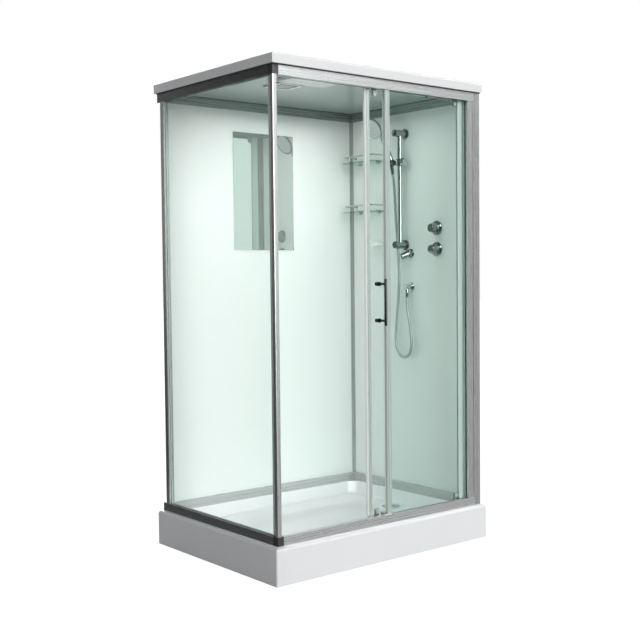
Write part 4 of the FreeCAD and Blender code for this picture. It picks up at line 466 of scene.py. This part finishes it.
along_front, along_side, along_walls, upright = (3, 700, 700), (700, 3, 700), (3, 3, 500), (700, 700, 3)
# The sill, left, wall-head, corner, left-upright and fixed-edge colours are darkened as painted shade; the
# two pale edge colours are painted sheen.
dress(anodised("anodised_along_front", along_front, (0.7, 0.72, 0.72)), "bottom_rail_front", "top_rail_front")
dress(anodised("anodised_upright", upright, (0.6, 0.62, 0.61)), "corner_post", "right_post")
dress(anodised("pale_edge_profile", upright, (0.65, 0.745, 0.705), 0.6), "door_lead_profile")
dress(anodised("anodised_sill", along_walls, (0.54, 0.555, 0.555), 0.15), "bottom_wall_rails")
dress(anodised("anodised_dark_sill", along_side, (0.24, 0.25, 0.255)), "bottom_rail_left")
dress(anodised("anodised_dark_head", along_side, (0.15, 0.165, 0.16)), "top_rail_left")
dress(anodised("anodised_grey", along_walls, (0.36, 0.42, 0.4), 0.5), "top_wall_rails")
dress(anodised("anodised_corner", upright, (0.48, 0.53, 0.51), 0.4), "rear_corner_profile")
dress(anodised("anodised_dark_upright", upright, (0.46, 0.48, 0.47)), "wall_profile_left")
dress(anodised("white_edge_profile", upright, (0.8, 0.87, 0.84), 0.1), "door_trail_profile")
dress(anodised("fixed_edge", upright, (0.58, 0.67, 0.63), 0.3), "fixed_edge_profile")
dress(polished, "panel_clips")
dress(black_plastic, "corner_joints")
dress(moulded("filler_plastic", (0.6, 0.62, 0.62), 0.3), "slot_fillers")


# Screws: small chromed socket heads. They hold the wall rails and the posts of the right wall
# from outside, and four smaller ones hold the fan's grille to the ceiling.
def lathe(name, profile, sides=24, flats=0):
    """Spins (radius, height) pairs about z; the last rings may be hexagons."""
    work = bmesh.new()
    rings = []
    for index, (radius, height) in enumerate(profile):
        ring = []
        for step in range(sides):
            angle = math.tau * step / sides
            reach = radius
            if index >= len(profile) - flats:
                reach /= math.cos(angle % (math.tau / 6) - math.tau / 12)
            ring.append(work.verts.new((reach * math.cos(angle), reach * math.sin(angle), height)))
        rings.append(ring)
    for low, high in zip(rings, rings[1:]):
        for step in range(sides):
            after = (step + 1) % sides
            work.faces.new((low[step], low[after], high[after], high[step]))
    bmesh.ops.remove_doubles(work, verts=work.verts, dist=0.000001)
    bmesh.ops.recalc_face_normals(work, faces=work.faces)
    mesh = bpy.data.meshes.new(name)
    work.to_mesh(mesh)
    work.free()
    return link(name, mesh)


def repeat(name, material, body, shape, spots):
    """Sets a small shape on many spots, each with the way that it points."""
    mesh = bpy.data.meshes.new(name)
    mesh.from_pydata([spot for spot, way in spots], [], [])
    aim = mesh.attributes.new("aim", "FLOAT_VECTOR", "POINT")
    for item, (spot, way) in zip(aim.data, spots):
        item.vector = way
    form = Form(name, Shape=shape, Finish=material)
    aimed = form.node("GeometryNodeInputNamedAttribute", {"data_type": "FLOAT_VECTOR"}, {"Name": "aim"})
    turned = form.node("FunctionNodeAlignRotationToVector", {"axis": "Z"}, {"Vector": aimed})
    copy = form.node("GeometryNodeObjectInfo", None, {"Object": form["Shape"]}, out="Geometry")
    placed = form.node("GeometryNodeInstanceOnPoints", None, {
        "Points": form["Start"], "Instance": copy, "Rotation": turned})
    piece = form.make(name, placed, link(name, mesh))
    bpy.data.objects.remove(shape)
    clad(piece, material, body)


socket_head = [(0.004, 0), (0.004, 0.0012), (0.0035, 0.0021), (0.0026, 0.0025), (0.0018, 0.0025),
               (0.0018, 0.001), (0, 0.001)]
rail_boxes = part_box("bottom_wall_rails"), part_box("top_wall_rails")
rail_heights = [(low.z + high.z) / 2 for low, high in rail_boxes]
post_heights = 0.45, 1.1, 1.75
screw_spots = [((x, back_face, z), (0, 1, 0)) for x in (-0.5, -0.17, 0.17, 0.5) for z in rail_heights]
screw_spots += [((right_face, y, z), (1, 0, 0)) for y in (-0.3, 0.03, 0.36) for z in rail_heights]
screw_spots += [((right_face, y, z), (1, 0, 0)) for y in (-0.4, 0.4) for z in post_heights]
repeat("frame_screws", polished, "cabin", lathe("screw", socket_head, flats=3), screw_spots)
share, inset = 0.6, 0.006
small_head = [(radius * share, height * share) for radius, height in socket_head]
low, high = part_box("fan_grille")
grille_corners = [(x, y, low.z) for x in (low.x + inset, high.x - inset)
                  for y in (low.y + inset, high.y - inset)]
repeat("grille_screws", polished, "cabin", lathe("pin", small_head, flats=3),
       [(corner, (0, 0, -1)) for corner in grille_corners])


# Glass: 5 mm toughened panes, clear with the green of iron, held in clear gaskets along their
# edges. The corner shelves are of a greener glass.
def clear_glass(name, tint):
    finish = Finish(name)
    smear = finish.noise(4, 3)
    clear = finish.node("ShaderNodeBsdfTransparent", None, {"Color": (*tint, 1)})
    gloss = finish.node("ShaderNodeBsdfPrincipled", None, {
        "Base Color": (0.9, 0.97, 0.94, 1), "Roughness": 0.01 + smear * 0.02, "Metallic": 1.0})
    slant = finish.node("ShaderNodeLayerWeight", None, {"Blend": 0.5}, out="Facing")
    return finish.done(either(finish, slant ** 5 * 0.9 + 0.012, clear, gloss))


dress(clear_glass("side_glass", (0.972, 0.992, 0.984)), "side_glass")
dress(clear_glass("front_glass", (0.955, 0.988, 0.977)), "fixed_glass", "door_glass")
dress(clear_glass("shelf_glass", (0.72, 0.84, 0.78)), "shelf_glasses")
dress(moulded("clear_gasket", (0.78, 0.83, 0.8), 0.3), "glazing_seals", "door_magnet_seal")


# Back and right walls: glass enamelled pale on its rear face, so that its front is smooth. The
# panes stand in the slots of the wall rails.
def enamelled_glass(name, colour):
    finish = Finish(name)
    cloud = finish.noise(2, 2)
    fleck = finish.noise(500, 2)
    return finish.done(Base_Color=finish.mottle(cloud * 0.6 + fleck * 0.4, 0.96, colour),
                       Roughness=0.35 + fleck * 0.1, Specular_IOR_Level=0.15, Coat_Weight=0.12,
                       Coat_Roughness=0.015)


dress(enamelled_glass("wall_enamel", (0.86, 0.895, 0.875)), "back_wall_panel", "right_wall_panel")


# Door furniture: a bow handle of chrome outside the glass, its colour darkened as a painted dark reflection,
# held from inside by two knobs, and pale plastic wheels that turn on their axles at the door's top and foot.
dress(chrome("dark_chrome_grip", (0.06, 0.065, 0.063), 0.12), "door_handle")
dress(moulded("wheel_plastic", (0.75, 0.75, 0.73), 0.25), "top_wheel_lead", "top_wheel_trail",
      "bottom_wheel_lead", "bottom_wheel_trail")


# Roof: a white acrylic cap over a flat ceiling, with a fan behind a slatted grille and a long
# The cap sits on the top rails with a rubber seal, and dark beads part the ceiling as painted shadow gaps.
dress(acrylic("roof_acrylic", (0.87, 0.88, 0.88), 0.18), "roof_cap", "fan_grille", "soap_dish")
# The ceiling takes a grey-green copy of the white acrylic, darkened as painted shade under the roof.
dress(acrylic("ceiling_sheet", (0.42, 0.485, 0.47), 0.2), "ceiling_panel")
dress(moulded("lamp_cover", (0.8, 0.83, 0.83), 0.2, 200), "ceiling_light")


def outline(name, out_x, out_y, height):
    """A closed path round a CAD node, as far out as given."""
    low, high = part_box(name)
    left, right, front, back = low.x - out_x, high.x + out_x, low.y - out_y, high.y + out_y
    return [(left, front, height), (right, front, height), (right, back, height), (left, back, height),
            (left, front, height)]


seam_rubber = moulded("seam_rubber", (0.05, 0.055, 0.055), 0.5)
ceiling, grille_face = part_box("ceiling_panel")[0].z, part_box("fan_grille")[0].z
shadow_gap_level, wall_shadow_gap_level, slats_shadow_gap_level = ceiling - 0.0008, ceiling - 0.0012, grille_face - 0.0002
rail_end_x, rail_end_y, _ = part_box("top_wall_rails")[0]
inner_x, inner_y = 0.5255, 0.3905
wall_shadow_gap = [(rail_end_x, inner_y, wall_shadow_gap_level), (inner_x, inner_y, wall_shadow_gap_level),
             (inner_x, rail_end_y, wall_shadow_gap_level)]
# Painted shadow gaps: dark beads round the grille, round the light, inside the grille's border and along the
# tops of the wall rails.
bead("ceiling_seams", seam_rubber, "cabin", 0.0024, outline("fan_grille", 0.0005, 0.0005, shadow_gap_level),
     outline("ceiling_light", 0.001, 0.0005, shadow_gap_level),
     outline("fan_grille", -0.023, -0.023, slats_shadow_gap_level), wall_shadow_gap)
sunk = 0.001
bead("roof_seal", seam_rubber, "cabin", 0.005, round_the_rails(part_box("top_rail_front")[1].z - sunk))


# Shower fittings: the riser bar with its slider and holder, the hand shower with rubber nozzles,
# the elbow, the low outlet, the two knobs and the shelves' rails are chromed. The mixer body
# behind the wall is raw brass with two threaded inlets.
dress(polished, "riser_bar", "clamp_knob", "hand_shower", "hose_nut", "wall_elbow", "shelf_frames")
# The brackets, slider, holder, low outlet, rosettes and knobs take a darker copy of the chrome, its darkness
# a painted reflection.
dress(chrome("deep_chrome", (0.34, 0.36, 0.355), 0.02), "riser_brackets", "slider", "handset_holder",
      "lower_outlet", "mixer_rosettes", "diverter_knob", "temperature_knob")
dress(moulded("spray_plate", (0.55, 0.57, 0.57), 0.3), "spray_face")

face_centre, face_way = Vector((0.36707, 0.052, 1.89278)), Vector((-0.866, 0, -0.5))
face_across, face_down = Vector((0, 1, 0)), Vector((0.5, 0, -0.866))
nozzle_spots = []
for radius, count in ((0.009, 6), (0.027, 16), (0.044, 28)):
    for step in range(count):
        angle = math.tau * (step + 0.5) / count
        along = face_across * math.cos(angle) + face_down * math.sin(angle)
        nozzle_spots.append((face_centre + along * radius, face_way))
nozzle = [(0.0018, 0), (0.0013, 0.0012), (0.001, 0.0018), (0.0005, 0.0018), (0.0004, 0.0006), (0, 0.0006)]
repeat("spray_nozzles", moulded("nozzle_rubber", (0.2, 0.21, 0.22), 0.5), "handset",
       lathe("nozzle", nozzle, 12), nozzle_spots)

brass = Finish("raw_brass")
cast = brass.noise(60, 3)
brass.done(Base_Color=brass.blend(cast, (0.42, 0.3, 0.12), (0.6, 0.46, 0.2)), Metallic=0.95,
           Roughness=0.3 + cast * 0.2, Normal=brass.bump(cast, 0.0004, 0.4))
dress(brass.material, "mixer_body")
thread_start, thread_pitch, thread_radius, thread_turns, steps_per_turn = 0.5825, 0.0019, 0.0105, 7, 20
inlet_y, inlet_heights = -0.2, (1.437, 1.306)
threads = []
for height in inlet_heights:
    turns = [math.tau * step / steps_per_turn for step in range(steps_per_turn * thread_turns)]
    threads.append([(thread_start + thread_pitch * turn / math.tau, inlet_y + thread_radius * math.cos(turn),
                     height + thread_radius * math.sin(turn)) for turn in turns])
bead("inlet_threads", brass.material, "cabin", 0.0009, *threads)


# Mirror: a plain plate of silvered glass, held on the back wall. Its silver is soft and a little
# green, so that it mirrors the cabin darker than it is.
mirror_silver = Finish("silvered_glass")
breath = mirror_silver.noise(3, 3)
mirror_silver.done(Base_Color=mirror_silver.blend(breath, (0.66, 0.73, 0.7), (0.69, 0.76, 0.73)),
                   Metallic=0.75, Roughness=0.01 + breath * 0.02)
dress(mirror_silver.material, "mirror")
